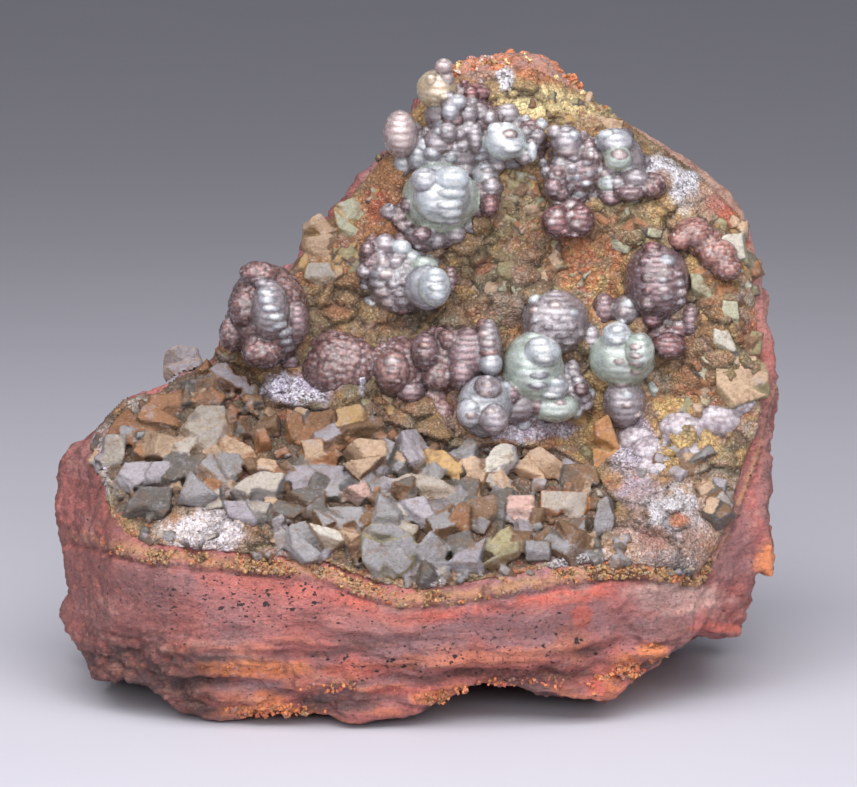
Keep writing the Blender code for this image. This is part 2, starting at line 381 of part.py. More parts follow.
def chips(u, v, kind):
    """Broken rock: flat chips, each with a height and a lean of its own."""
    size, height, lean = kind
    place = Vector((u / size, v / size, 0))
    centre = noise.voronoi(place)[1][0]
    tilt = noise.cell_vector(centre * 9) - Vector((0.5, 0.5, 0.5))
    return height * (tilt.z + tilt.xy.dot((place - centre).xy) * lean)


def walk_outline(corners, step):
    """Points along a closed outline, with no gap longer than the step."""
    points = []
    for start, end in zip(corners, corners[1:] + corners[:1]):
        count = max(1, math.ceil(math.dist(start, end) / step))
        for index in range(count):
            share = index / count
            points.append((start[0] + (end[0] - start[0]) * share,
                           start[1] + (end[1] - start[1]) * share))
    return points


def outline_normals(points):
    """Outward direction of a clockwise outline at each point."""
    normals = []
    for before, after in zip(points[-1:] + points[:-1], points[1:] + points[:1]):
        edge = Vector((after[0] - before[0], after[1] - before[1])).normalized()
        normals.append(Vector((-edge.y, edge.x)))
    return normals


def is_inside(point, corners):
    """Whether a flat point lies inside a closed outline."""
    inside = False
    for (x0, y0), (x1, y1) in zip(corners, corners[1:] + corners[:1]):
        if (y0 > point[1]) == (y1 > point[1]):
            continue
        if point[0] < x0 + (x1 - x0) * (point[1] - y0) / (y1 - y0):
            inside = not inside
    return inside


def distance_to(point, corners):
    """Distance from a flat point to the nearest side of an outline."""
    nearest = math.inf
    spot = Vector(point)
    for start, end in zip(corners, corners[1:] + corners[:1]):
        start, side = Vector(start), Vector(end) - Vector(start)
        share = max(0, min(1, (spot - start).dot(side) / side.length_squared))
        nearest = min(nearest, (spot - start - side * share).length)
    return nearest


def scatter_inside(corners, step, margin, rng):
    """Jittered rows of points inside an outline, clear of its sides."""
    points = []
    row = 0
    v = 0.0
    while v < 68:
        u = -37 + (row % 2) * step / 2
        while u < 37:
            spot = (u + rng.uniform(-0.2, 0.2) * step, v + rng.uniform(-0.2, 0.2) * step)
            if is_inside(spot, corners) and distance_to(spot, corners) > margin:
                points.append(spot)
            u += step
        v += step * math.sqrt(3) / 2
        row += 1
    return points


def triangulate(outline, inner):
    """Triangles over the outline and the points inside it, by input index."""
    flat = [Vector(point) for point in outline + inner]
    count = len(outline)
    edges = [(index, (index + 1) % count) for index in range(count)]
    _, _, faces, originals, _, _ = delaunay_2d_cdt(flat, edges, [], 1, 1e-5)
    names = [source[0] for source in originals]
    return [tuple(names[index] for index in face) for face in faces]


def mesh_object(name, points, faces):
    """An object from points in millimetres, with its faces pointing out."""
    mesh = bpy.data.meshes.new(name)
    mesh.from_pydata([Vector(point) * MM for point in points], [], faces)
    work = bmesh.new()
    work.from_mesh(mesh)
    bmesh.ops.recalc_face_normals(work, faces=work.faces)
    if work.calc_volume(signed=True) < 0:
        bmesh.ops.reverse_faces(work, faces=work.faces)
    work.to_mesh(mesh)
    work.free()
    item = bpy.data.objects.new(name, mesh)
    bpy.context.scene.collection.objects.link(item)
    return item


class Rock:
    """The slab: one plan of triangles, drawn at its own size or grown by a gap."""

    def __init__(self):
        rng = random.Random(SEED)
        self.outline = walk_outline(ROCK_OUTLINE, EDGE_STEP)
        self.normals = outline_normals(self.outline)
        self.front_inner = scatter_inside(self.outline, FRONT_STEP, FRONT_MARGIN, rng)
        self.back_inner = scatter_inside(self.outline, BACK_STEP, BACK_MARGIN, rng)
        self.front_faces = triangulate(self.outline, self.front_inner)
        self.back_faces = triangulate(self.outline, self.back_inner)
        self.front_shape = surface_through(FRONT_DEPTHS)
        self.back_shape = surface_through(BACK_DEPTHS)

    def front_depth(self, u, v):
        """Depth of the broken front, chips and all."""
        return self.front_shape(u, v) + chips(u, v, SMALL_CHIPS) + chips(u + 40, v, LARGE_CHIPS)

    def back_depth(self, u, v):
        """Depth of the rough back."""
        return self.back_shape(u, v) + chips(u, v + 90, BACK_CHIPS)

    def sides(self, grow):
        """Rows of points from the front edge of the outline to the back edge."""
        rows = []
        for row in range(SIDE_ROWS + 1):
            share = row / SIDE_ROWS
            hollow = math.sin(share * math.pi)
            points = []
            for (u, v), normal in zip(self.outline, self.normals):
                front = self.front_depth(u, v) - grow * CRUST_GAP / SIDE_GAP
                back = self.back_depth(u, v) + grow
                depth = front + (back - front) * share
                cut = noise.noise(Vector((u / 6, v / 6, row * 1.7))) + 0.6
                outward = grow - max(0, cut) * SIDE_HOLLOW * hollow
                points.append(seen(u + normal.x * outward, v + normal.y * outward, depth))
            rows.append(points)
        return rows

    def solid(self, name, grow=0.0):
        """The closed slab, cut off flat underneath."""
        count = len(self.outline)
        points = []
        for row in self.sides(grow):
            points += row
        last = count * SIDE_ROWS
        front_start = len(points)
        for u, v in self.front_inner:
            points.append(seen(u, v, self.front_depth(u, v) - grow * CRUST_GAP / SIDE_GAP))
        back_start = len(points)
        for u, v in self.back_inner:
            points.append(seen(u, v, self.back_depth(u, v) + grow))
        faces = []
        for face in self.front_faces:
            faces.append([i if i < count else front_start + i - count for i in face])
        for face in self.back_faces:
            faces.append([last + i if i < count else back_start + i - count
                          for i in reversed(face)])
        for row in range(SIDE_ROWS):
            for index in range(count):
                after = (index + 1) % count
                faces.append([row * count + index, row * count + after,
                              (row + 1) * count + after, (row + 1) * count + index])
        item = mesh_object(name, points, faces)
        if grow == 0:
            cut_base(item)
        return item

    def crust_layer(self):
        """The crystals' common base: the covered part of the front, moved forward."""
        count = len(self.outline)
        places = self.outline + self.front_inner
        chosen = [face for face in self.front_faces
                  if all(is_inside(places[i], CRUST_OUTLINE) for i in face)]
        chosen = close_pinches(chosen, self.front_faces)
        used = sorted({index for face in chosen for index in face})
        order = {index: place for place, index in enumerate(used)}
        below, above = [], []
        for index in used:
            u, v = places[index]
            depth = self.front_depth(u, v)
            waves = CRUST_WAVES * noise.noise(Vector((u / 3, v / 3, 5)))
            below.append(seen(u, v, depth - CRUST_SINK))
            above.append(seen(u, v, depth - CRUST_THICKNESS - waves))
        top = len(used)
        faces = [[order[i] for i in face] for face in chosen]
        faces += [[top + order[i] for i in reversed(face)] for face in chosen]
        for start, end in rim_edges(chosen):
            faces.append([order[end], order[start], top + order[start], top + order[end]])
        return mesh_object("crust_layer", below + above, faces)


def rim_edges(faces):
    """Directed edges that only one of the faces has."""
    edges = [(a, b) for face in faces for a, b in zip(face, face[1:] + face[:1])]
    known = set(edges)
    return [(a, b) for a, b in edges if (b, a) not in known]


def close_pinches(chosen, every):
    """Fill around points where two parts of a patch touch only at a corner."""
    for _ in range(4):
        starts = [start for start, _ in rim_edges(chosen)]
        pinched = {index for index in starts if starts.count(index) > 1}
        if not pinched:
            break
        chosen = [face for face in every if face in chosen or pinched & set(face)]
    return chosen


def cut_base(item):
    """Cut the slab off flat at the height it rests on."""
    work = bmesh.new()
    work.from_mesh(item.data)
    geometry = work.verts[:] + work.edges[:] + work.faces[:]
    cut = bmesh.ops.bisect_plane(work, geom=geometry, plane_co=(0, 0, 0),
                                 plane_no=(0, 0, -1), clear_outer=True)
    rim = [part for part in cut["geom_cut"] if isinstance(part, bmesh.types.BMEdge)]
    bmesh.ops.holes_fill(work, edges=rim)
    work.to_mesh(item.data)
    work.free()


def tree_of(item):
    """Search tree of an object's faces, in metres."""
    return BVHTree.FromPolygons([vert.co for vert in item.data.vertices],
                                [list(face.vertices) for face in item.data.polygons])


def first_hit(trees, u, v):
    """Depth of the nearest surface that is seen at (u, v)."""
    start = seen(u, v, -120)
    along = (seen(u, v, 0) - start).normalized()
    depths = []
    for tree in trees:
        place = tree.ray_cast(start * MM, along)[0]
        if place is not None:
            depths.append(place.y / MM)
    return min(depths, default=8.0)


def block(name, entry, tree):
    """A flat-faced crystal: its seen face, run back into the crust."""
    face, rise, lean, run = entry
    middle = np.mean(face, axis=0)
    depth = first_hit([tree], *middle) - rise
    front, back = [], []
    for u, v in face:
        y = depth + lean[0] * (u - middle[0]) + lean[1] * (v - middle[1])
        front.append(seen(u, v, y))
        back.append(seen(u + run[0], v + run[1], y + BLOCK_DEPTH))
    count = len(face)
    faces = [list(range(count)), list(range(2 * count - 1, count - 1, -1))]
    for index in range(count):
        after = (index + 1) % count
        faces.append([after, index, count + index, count + after])
    return mesh_object(name, front + back, faces)


def filler(name, u, v, tree, rng):
    """A smaller crystal of the same habit: a leaning, skewed block."""
    size = rng.uniform(*(LEDGE_FILLER if v < LEDGE_TOP else WALL_FILLER))
    depth = first_hit([tree], u, v)
    turn = Euler([rng.uniform(-FILLER_TURN, FILLER_TURN) for _ in range(3)]).to_matrix()
    sides = Vector([size * rng.uniform(0.75, 1.25) / 2 for _ in range(3)])
    centre = seen(u, v, depth - 0.25 * size)
    points = []
    for x in (-1, 1):
        for y in (-1, 1):
            for z in (-1, 1):
                corner = Vector((x * sides.x, y * sides.y, z * sides.z))
                points.append(centre + turn @ (FILLER_SKEW @ corner))
    faces = [(0, 1, 3, 2), (4, 6, 7, 5), (0, 4, 5, 1), (2, 3, 7, 6), (0, 2, 6, 4), (1, 5, 7, 3)]
    return mesh_object(name, points, faces)


def lobe(name, entry, trees, grow=0.0):
    """One rounded knob of tilasite on what is already there."""
    u, v, half_width, half_height, sunk = entry
    radius = (half_width + half_height) / 2
    depth = first_hit(trees, u, v) + radius * (2 * sunk - 1)
    work = bmesh.new()
    detail = 3 if radius > LARGE_LOBE else 2
    bmesh.ops.create_icosphere(work, subdivisions=detail, radius=1)
    size = Vector((half_width + grow, radius + grow, half_height + grow)) * MM
    turn = Euler((u, v, radius)).to_matrix()
    for vert in work.verts:
        place = turn @ vert.co
        vert.co = Vector((place.x * size.x, place.y * size.y, place.z * size.z))
        vert.co += seen(u, v, depth) * MM
    mesh = bpy.data.meshes.new(name)
    work.to_mesh(mesh)
    work.free()
    item = bpy.data.objects.new(name, mesh)
    bpy.context.scene.collection.objects.link(item)
    return item


def lobe_group(entries, rock_tree):
    """All knobs of a group, each with the grown copy that cuts its neighbours."""
    trees = [rock_tree]
    knobs, cutters = [], []
    for entry in entries:
        cutters.append(lobe("cutter", entry, trees, LOBE_GAP))
        knobs.append(lobe("knob", entry, trees))
        trees.append(tree_of(knobs[-1]))
    return knobs, cutters


def collection_of(name, items):
    """A collection that holds exactly these objects."""
    group = bpy.data.collections.new(name)
    for item in items:
        group.objects.link(item)
    return group


def apply_modifiers(item):
    """Make an object's shape with its modifiers its own mesh."""
    graph = bpy.context.evaluated_depsgraph_get()
    result = bpy.data.meshes.new_from_object(item.evaluated_get(graph))
    item.modifiers.clear()
    item.data = result


def apply_boolean(item, operation, others):
    """Join others to an object or cut them from it, and keep the result as its mesh.

    With this many overlapping crystals the exact solver leaves open edges.
    """
    group = collection_of("operands", others)
    step = item.modifiers.new(operation.lower(), "BOOLEAN")
    step.operation = operation
    step.operand_type = "COLLECTION"
    step.collection = group
    step.solver = "MANIFOLD"
    apply_modifiers(item)
    bpy.data.collections.remove(group)


def simplify(item, triangles):
    """Bring a closed mesh down to about this many triangles."""
    count = sum(len(face.vertices) - 2 for face in item.data.polygons)
    if count > triangles:
        step = item.modifiers.new("simplify", "DECIMATE")
        step.ratio = triangles / count
        step.use_collapse_triangulate = True
        apply_modifiers(item)


def islands(work):
    """Face groups of a mesh that touch by edges."""
    left = set(work.faces)
    groups = []
    while left:
        queue = [left.pop()]
        group = set(queue)
        while queue:
            for edge in queue.pop().edges:
                for face in edge.link_faces:
                    if face in left:
                        left.discard(face)
                        group.add(face)
                        queue.append(face)
        groups.append(group)
    return groups


def keep_largest(item):
    """Drop loose chips, so that one closed body is left."""
    work = bmesh.new()
    work.from_mesh(item.data)
    groups = sorted(islands(work), key=len)
    for group in groups[:-1]:
        bmesh.ops.delete(work, geom=list(group), context="FACES")
    loose = [vert for vert in work.verts if not vert.link_faces]
    bmesh.ops.delete(work, geom=loose, context="VERTS")
    bmesh.ops.triangulate(work, faces=work.faces)
    work.to_mesh(item.data)
    work.free()


def discard(items):
    """Remove helper objects."""
    for item in items:
        bpy.data.objects.remove(item, do_unlink=True)


def build_crust(rock, rock_tree, grown_rock, cutters):
    """The crystal crust: common base, hand-placed crystals and smaller ones between."""
    rng = random.Random(SEED + 1)
    crust = rock.crust_layer()
    crust.name = "crystal_crust"
    crystals = [block(name, entry, rock_tree) for name, entry in BLOCKS.items()]
    for u, v in scatter_inside(CRUST_OUTLINE, FILLER_STEP, FILLER_MARGIN, rng):
        crystals.append(filler("filler", u, v, rock_tree, rng))
    apply_boolean(crust, "UNION", crystals)
    simplify(crust, CRUST_UNION_TRIANGLES)
    apply_boolean(crust, "DIFFERENCE", [grown_rock] + cutters)
    keep_largest(crust)
    simplify(crust, CRUST_TRIANGLES)
    discard(crystals)
    return crust


def build_tilasite(rock_tree, grown_rock):
    """The tilasite groups, each cut by the rock and by the groups before it."""
    groups = []
    earlier = []
    for name, entries in LOBES.items():
        knobs, grown_knobs = lobe_group(entries, rock_tree)
        body, cutter = knobs[0], grown_knobs[0]
        body.name = name
        apply_boolean(body, "UNION", knobs[1:])
        apply_boolean(cutter, "UNION", grown_knobs[1:])
        simplify(body, 100 + LOBE_TRIANGLES * len(knobs))
        simplify(cutter, 80 + LOBE_CUTTER_TRIANGLES * len(knobs))
        apply_boolean(body, "DIFFERENCE", [grown_rock] + earlier)
        keep_largest(body)
        simplify(body, LOBE_KEPT_SHARE * len(body.data.polygons))
        discard(knobs[1:] + grown_knobs[1:])
        earlier.append(cutter)
        groups.append(body)
    return groups, earlier


def paint(item):
    """Give an object its own plain material."""
    material = bpy.data.materials.new(item.name)
    material.use_nodes = True
    shader = material.node_tree.nodes["Principled BSDF"]
    shader.inputs["Base Color"].default_value = (*COLOURS[item.name], 1)
    shader.inputs["Roughness"].default_value = 0.3 if "tilasite" in item.name else 0.75
    shader.inputs["Metallic"].default_value = 0
    item.data.materials.clear()
    item.data.materials.append(material)


def centre_on_origin(items):
    """Move everything so that the box's middle stands over the origin."""
    corners = np.array([vert.co for item in items for vert in item.data.vertices])
    low, high = corners.min(axis=0), corners.max(axis=0)
    shift = Vector((-(low[0] + high[0]) / 2, -(low[1] + high[1]) / 2, 0))
    for item in items:
        item.data.transform(Matrix.Translation(shift))


def main():
    clear_scene()
    rock = Rock()
    matrix = rock.solid("ironstone_matrix")
    keep_largest(matrix)
    grown_rock = rock.solid("grown_rock", SIDE_GAP)
    rock_tree = tree_of(matrix)
    groups, cutters = build_tilasite(rock_tree, grown_rock)
    crust = build_crust(rock, rock_tree, grown_rock, cutters)
    discard([grown_rock] + cutters)
    items = [matrix, crust] + groups
    centre_on_origin(items)
    for item in items:
        paint(item)


main()
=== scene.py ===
"""Looks of the tilasite specimen.

Flat places are millimetres as seen from the front, from slightly above: u runs right
from the middle of the slab and v runs up from its lowest edge. Depths are
millimetres along +Y, away from the viewer.
"""

import math
import random

import bmesh
import bpy
import numpy as np
from mathutils import Matrix, Vector, noise
from mathutils.bvhtree import BVHTree


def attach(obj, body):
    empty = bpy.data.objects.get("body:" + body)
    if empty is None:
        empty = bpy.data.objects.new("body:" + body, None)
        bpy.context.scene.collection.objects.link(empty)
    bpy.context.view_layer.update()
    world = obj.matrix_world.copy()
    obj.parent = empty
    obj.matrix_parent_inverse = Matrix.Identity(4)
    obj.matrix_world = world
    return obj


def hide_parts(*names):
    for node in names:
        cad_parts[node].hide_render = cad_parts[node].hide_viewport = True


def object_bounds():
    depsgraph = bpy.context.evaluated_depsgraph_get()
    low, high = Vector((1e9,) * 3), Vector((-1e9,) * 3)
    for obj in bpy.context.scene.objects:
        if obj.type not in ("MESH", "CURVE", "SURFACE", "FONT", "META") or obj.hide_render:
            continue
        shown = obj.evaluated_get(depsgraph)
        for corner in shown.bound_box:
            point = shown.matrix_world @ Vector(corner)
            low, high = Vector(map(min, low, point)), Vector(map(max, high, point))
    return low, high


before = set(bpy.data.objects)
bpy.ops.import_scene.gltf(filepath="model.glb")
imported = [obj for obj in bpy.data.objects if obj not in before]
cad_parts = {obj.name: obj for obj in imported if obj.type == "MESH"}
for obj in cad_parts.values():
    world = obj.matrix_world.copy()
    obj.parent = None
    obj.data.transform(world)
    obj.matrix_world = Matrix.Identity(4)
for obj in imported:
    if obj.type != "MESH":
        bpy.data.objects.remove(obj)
CAD_BOX = [list(corner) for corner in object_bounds()]

MM = 0.001
SEED = 33

# The sight line that the flat places are taken along
VIEW_TILT = math.radians(12)
VIEW_DISTANCE = 430
VIEW_MIDDLE = 33
VIEW_HEIGHT = 30
FORWARD = np.array((0, math.cos(VIEW_TILT), -math.sin(VIEW_TILT)))
UPWARD = np.array((0, math.sin(VIEW_TILT), math.cos(VIEW_TILT)))
MIDDLE = np.array((0, 0, VIEW_HEIGHT))
EYE = MIDDLE - FORWARD * VIEW_DISTANCE
# How far the solids' own frame lies from the one that the places were read in
SHIFT = np.array((-0.073, -2.034, 0))

# The picture: its size, its width in millimetres at the specimen, and its middle
IMAGE_WIDTH = 857
IMAGE_HEIGHT = 787
PICTURE_WIDTH = 85.7
MIDDLE_PX = (416, 394)
SENSOR_WIDTH = 36

# Mesh sizes in millimetres
ROCK_VOXEL = 0.6
BED_STEP = 0.22
KNOB_VOXEL = 0.16
CRYSTAL_VOXEL = 0.2
# Loose bits with fewer points than this are left out
LEAST_BIT = 40

# How deep crystals and tilasite may reach under the base of the crust
CRYSTAL_TRIM = 0.7
KNOB_TRIM = 1.6

# The crust: its reach in u and v, its thickness, the sizes of its cobbles, pebbles and grains,
# and how far its rim turns back into the rock
BED_ACROSS = (-36.4, 36.6)
BED_UP = (12, 67.8)
BED_THICKNESS = 1.15
COBBLE_SIZE = np.array((2.9, 2.5, 3.0))
PEBBLE_SIZE = (1.05, 0.95, 1.05)
GRAIN_SIZE = (0.55, 0.5, 0.55)
RIM_TURN = 1.4

# Chips in the rock: size and depth
CHIPS = ((5.2, 1.3), (2.4, 0.8), (1.1, 0.4))

# Depth of a piece that has nothing behind it
LONE_DEPTH = 8.0

# Crystals: largest whole face in square millimetres, length of a block, how far its face
# stands in front of the rock at least, and how far away a face may lend its colour
WHOLE_FACE = 10
BLOCK_LENGTH = 3.4
LEAST_RISE = 0.5
COLOUR_REACH = 0.45

# Shade of the crystals: heights and shares on the ledge, places across and shares on the wall
LEDGE_SHADE = ((16, 19.5, 25, 31), (0.8, 0.95, 0.95, 0.74))
WALL_SHADE = ((4, 20), (0.7, 1))

# Tilasite bodies that are wide and lie low
WIDE_BODY = 1.25
LOW_BODY = 0.7

# Crumbs along the lip: where they start and end, their spacing and size range
LIP_CRUMBS = (-31, 29.5, 0.06)
LIP_CRUMB_SIZES = (0.15, 0.55)

# Pits in the rock face: middle, half sizes and strength
PIT_PATCHES = [(-15, 12.6, 17, 3.4, 1.0), (9, 8, 14, 4, 0.75), (-3, 6.4, 8, 3, 0.9)]

# Lights: name, azimuth, elevation, distance, width, height and radiance
SOFT_BOXES = [
    ("box_top", -8, 64, 0.3, 0.5, 0.15, 5.0),
    ("box_front", 4, 40, 0.34, 0.64, 0.09, 5.6),
    ("box_low", -4, 18, 0.42, 0.7, 0.09, 5.6),
]
LIGHT_AIM = Vector((0, 0, 0.034))
FILL_COLOUR = (0.86, 0.88, 0.95, 1)
FILL_STRENGTH = 0.22
FLOOR_REACH = 4000

# The edge of the ledge, seen from the front
LIP = [
    (-36, 19.0), (-31.1, 17.9), (-26.6, 16.6), (-21.6, 16.2), (-9.6, 15.1), (-5.6, 13.4),
    (-1.6, 12.2), (2.4, 12.4), (8.4, 13.4), (14.4, 14.4), (19.4, 15.2), (23.4, 15.0),
    (28.4, 14.2), (30.6, 17.6), (32.4, 22.4), (34.4, 27.4), (36.0, 34.0),
]

# Where the crust covers the rock
CRUST_OUTLINE = [
    (-33.0, 28.2), (-31.2, 30.8), (-28.6, 33.4), (-25.4, 34.2), (-23.4, 36.2),
    (-20.0, 37.4), (-18.9, 42.0), (-16.9, 45.4), (-12.4, 45.6), (-10.6, 48.6),
    (-6.6, 53.2), (-3.4, 57.0), (-1.2, 60.4), (1.4, 64.0), (5.4, 65.6), (12.4, 65.8),
    (18.8, 61.9), (28.6, 55.0), (32.4, 51.2), (33.8, 45.4), (34.4, 39.4), (35.0, 33.2),
    (34.4, 29.0), (33.2, 26.6), (32.0, 22.0), (30.4, 17.6), (28.4, 14.8), (24.0, 15.4),
    (18.6, 16.0), (14.0, 15.2), (8.6, 14.4), (2.4, 13.4), (-1.6, 13.2), (-5.6, 14.4),
    (-9.6, 16.0), (-21.6, 17.2), (-26.6, 17.6), (-30.4, 18.8), (-31.2, 22.4), (-31.6, 25.6),
]

# Where crystals stand close together
LEDGE_OUTLINE = [
    (-31.5, 27.0), (-29.5, 31.5), (-26.0, 33.4), (-22.0, 37.4), (-16.5, 35.4), (-14.0, 32.0),
    (-9.0, 31.4), (-2.0, 30.0), (4.0, 27.6), (8.0, 28.0), (14.0, 27.5), (18.0, 25.0),
    (20.0, 22.0), (18.0, 17.5), (10.0, 15.5), (2.0, 14.4), (-5.0, 15.2), (-10.0, 17.0),
    (-15.0, 17.8), (-16.5, 21.6), (-24.0, 21.8), (-26.0, 19.6), (-30.0, 21.0),
]

# Colours as screen values
COLOURS = {
    "maroon": (200, 116, 110), "dark_maroon": (126, 74, 72), "mauve": (158, 120, 124),
    "brick": (214, 104, 86), "pink_rock": (196, 142, 136), "rock_orange": (220, 128, 84),
    "rock_grey": (120, 100, 100), "rock_tan": (196, 148, 104), "iron_black": (62, 52, 52),
    "salt": (226, 206, 196), "side_pink": (214, 176, 156),
    "ochre": (184, 148, 98), "olive": (150, 140, 104), "yellow": (224, 186, 120),
    "brown": (118, 88, 64), "red": (186, 88, 54), "orange": (198, 124, 76),
    "beige": (172, 161, 150), "lilac": (156, 148, 155), "grey": (143, 139, 141),
    "dark": (96, 90, 86), "tan": (184, 154, 128), "pale": (202, 194, 182),
    "green_grey": (168, 166, 142), "rust": (152, 104, 70), "pink_tan": (196, 158, 148),
    "silver": (222, 222, 228), "violet": (178, 168, 204), "porous_white": (246, 228, 226),
    # The dark umber serves both as a grain colour and as painted shade.
    "umber_and_shade": (70, 52, 38), "straw": (255, 232, 172),
    "bright_orange": (255, 156, 100),
}

# Patches of colour on the crystal side: middle, half sizes, colour, strength and frost
BED_ZONES = [
    (0.0, 58.0, 34, 10, "ochre", 0.5, 0), (-2.9, 51.5, 2.2, 6.0, "orange", 0.7, 0),
    (-3.9, 51.8, 1.6, 1.6, "red", 0.9, 0), (6.1, 65.6, 2.8, 1.4, "pink_tan", 0.8, 0),
    (3.0, 65.0, 1.2, 0.9, "orange", 0.6, 0), (9.0, 64.8, 0.9, 1.8, "silver", 0.9, 0.9),
    (12.2, 65.4, 2.8, 1.2, "rock_orange", 0.8, 0), (13.8, 64.0, 2.6, 1.0, "orange", 0.7, 0),
    (13.0, 62.2, 5.0, 1.8, "straw", 1.0, 0), (19.0, 61.6, 3.0, 0.9, "straw", 0.8, 0),
    (24.6, 55.4, 2.0, 1.6, "silver", 1.0, 1.0), (26.8, 53.4, 1.7, 2.2, "silver", 1.0, 1.0),
    (29.6, 52.6, 2.6, 1.6, "side_pink", 0.8, 0.2), (30.2, 52.2, 1.4, 1.0, "maroon", 0.7, 0),
    (31.2, 50.8, 1.0, 1.2, "brick", 0.8, 0), (24.6, 54.2, 1.2, 1.4, "rust", 0.8, 0),
    (20.5, 51.0, 3.6, 2.6, "olive", 0.7, 0), (25.2, 51.4, 2.6, 1.6, "yellow", 0.5, 0),
    (18.6, 48.6, 2.4, 3.0, "rust", 0.5, 0), (22.0, 49.4, 1.6, 2.6, "olive", 0.8, 0),
    (12.4, 46.4, 2.6, 3.0, "brown", 0.7, 0), (15.6, 46.8, 1.8, 2.2, "red", 0.45, 0),
    (9.6, 52.0, 2.8, 3.4, "olive", 0.7, 0), (7.0, 46.0, 2.4, 2.2, "olive", 0.5, 0),
    (6.8, 45.9, 1.0, 0.9, "red", 0.7, 0), (-8.4, 43.6, 3.4, 3.6, "ochre", 0.7, 0),
    (-5.9, 47.0, 1.6, 3.6, "orange", 0.5, 0), (-7.8, 41.4, 1.6, 0.9, "red", 0.5, 0),
    # The dark patch just under the horns group, at (-1.8, 40.0), is a painted shadow.
    (-1.8, 40.0, 3.0, 0.7, "umber_and_shade", 0.8, 0), (-13.4, 31.9, 2.0, 1.2, "rust", 0.9, 0),
    (-18.0, 37.0, 1.6, 1.2, "ochre", 0.8, 0), (-19.6, 41.0, 1.0, 2.0, "ochre", 0.8, 0),
    (-18.4, 42.8, 1.0, 1.0, "orange", 0.9, 0), (-17.0, 35.2, 2.0, 1.4, "rust", 0.7, 0),
    (4.0, 31.0, 1.4, 2.0, "pink_tan", 0.6, 0.2), (-2.4, 31.6, 2.6, 1.6, "orange", 0.5, 0),
    (18.6, 29.6, 1.6, 3.6, "yellow", 0.9, 0), (15.0, 31.0, 1.8, 1.6, "orange", 0.6, 0),
    (26.0, 31.6, 2.8, 1.4, "yellow", 1.0, 0), (25.6, 27.2, 3.0, 2.0, "yellow", 0.9, 0),
    (29.0, 28.6, 1.6, 1.4, "yellow", 0.8, 0), (27.6, 35.0, 1.6, 2.4, "rust", 0.8, 0),
    (33.8, 39.0, 1.6, 1.4, "red", 0.7, 0), (34.4, 44.6, 0.9, 1.6, "brown", 0.7, 0),
    (29.6, 41.0, 1.2, 2.6, "rust", 0.6, 0), (26.0, 40.0, 4.0, 5.0, "brown", 0.3, 0),
    (-11.6, 33.6, 3.8, 1.7, "violet", 0.9, 0.9), (-5.4, 35.6, 0.5, 3.0, "violet", 0.9, 0.8),
    (-0.6, 33.6, 2.6, 1.2, "violet", 0.6, 0.9), (10.6, 29.6, 5.0, 1.4, "violet", 0.7, 0.7),
    (21.4, 28.4, 2.8, 3.6, "violet", 0.7, 0.9), (22.2, 23.2, 2.4, 1.8, "violet", 0.6, 0.5),
    (25.0, 18.6, 5.6, 5.4, "pink_tan", 0.8, 0.25), (25.6, 21.4, 2.8, 2.4, "silver", 0.8, 0.55),
    (24.4, 15.8, 4.4, 1.6, "grey", 0.5, 0.3), (30.2, 21.6, 1.8, 1.6, "grey", 0.7, 0.3),
    (26.4, 20.4, 1.2, 0.9, "rock_orange", 0.9, 0), (23.9, 18.6, 1.4, 1.2, "pink_rock", 0.9, 0),
    (-32.0, 27.6, 2.2, 2.4, "pink_rock", 0.8, 0.6), (-31.8, 24.6, 1.0, 2.4, "dark", 0.8, 1.0),
    (-27.0, 31.6, 2.0, 1.4, "pale", 0.6, 0.5), (-21.0, 19.2, 4.4, 2.6, "porous_white", 1.0, 0.5),
    (-12.0, 17.0, 4.0, 0.9, "pink_rock", 0.7, 0.4), (1.6, 14.2, 1.8, 0.9, "dark", 0.7, 1.0),
    (16.4, 16.6, 3.6, 1.6, "dark", 0.7, 0.9), (-28.4, 17.4, 3.0, 0.9, "yellow", 0.7, 0.2),
    (-7.4, 14.6, 2.0, 0.9, "yellow", 0.8, 0.2), (10.0, 14.6, 3.4, 0.8, "orange", 0.8, 0.1),
    (20.4, 17.0, 2.4, 1.6, "rock_tan", 0.8, 0.4),
]

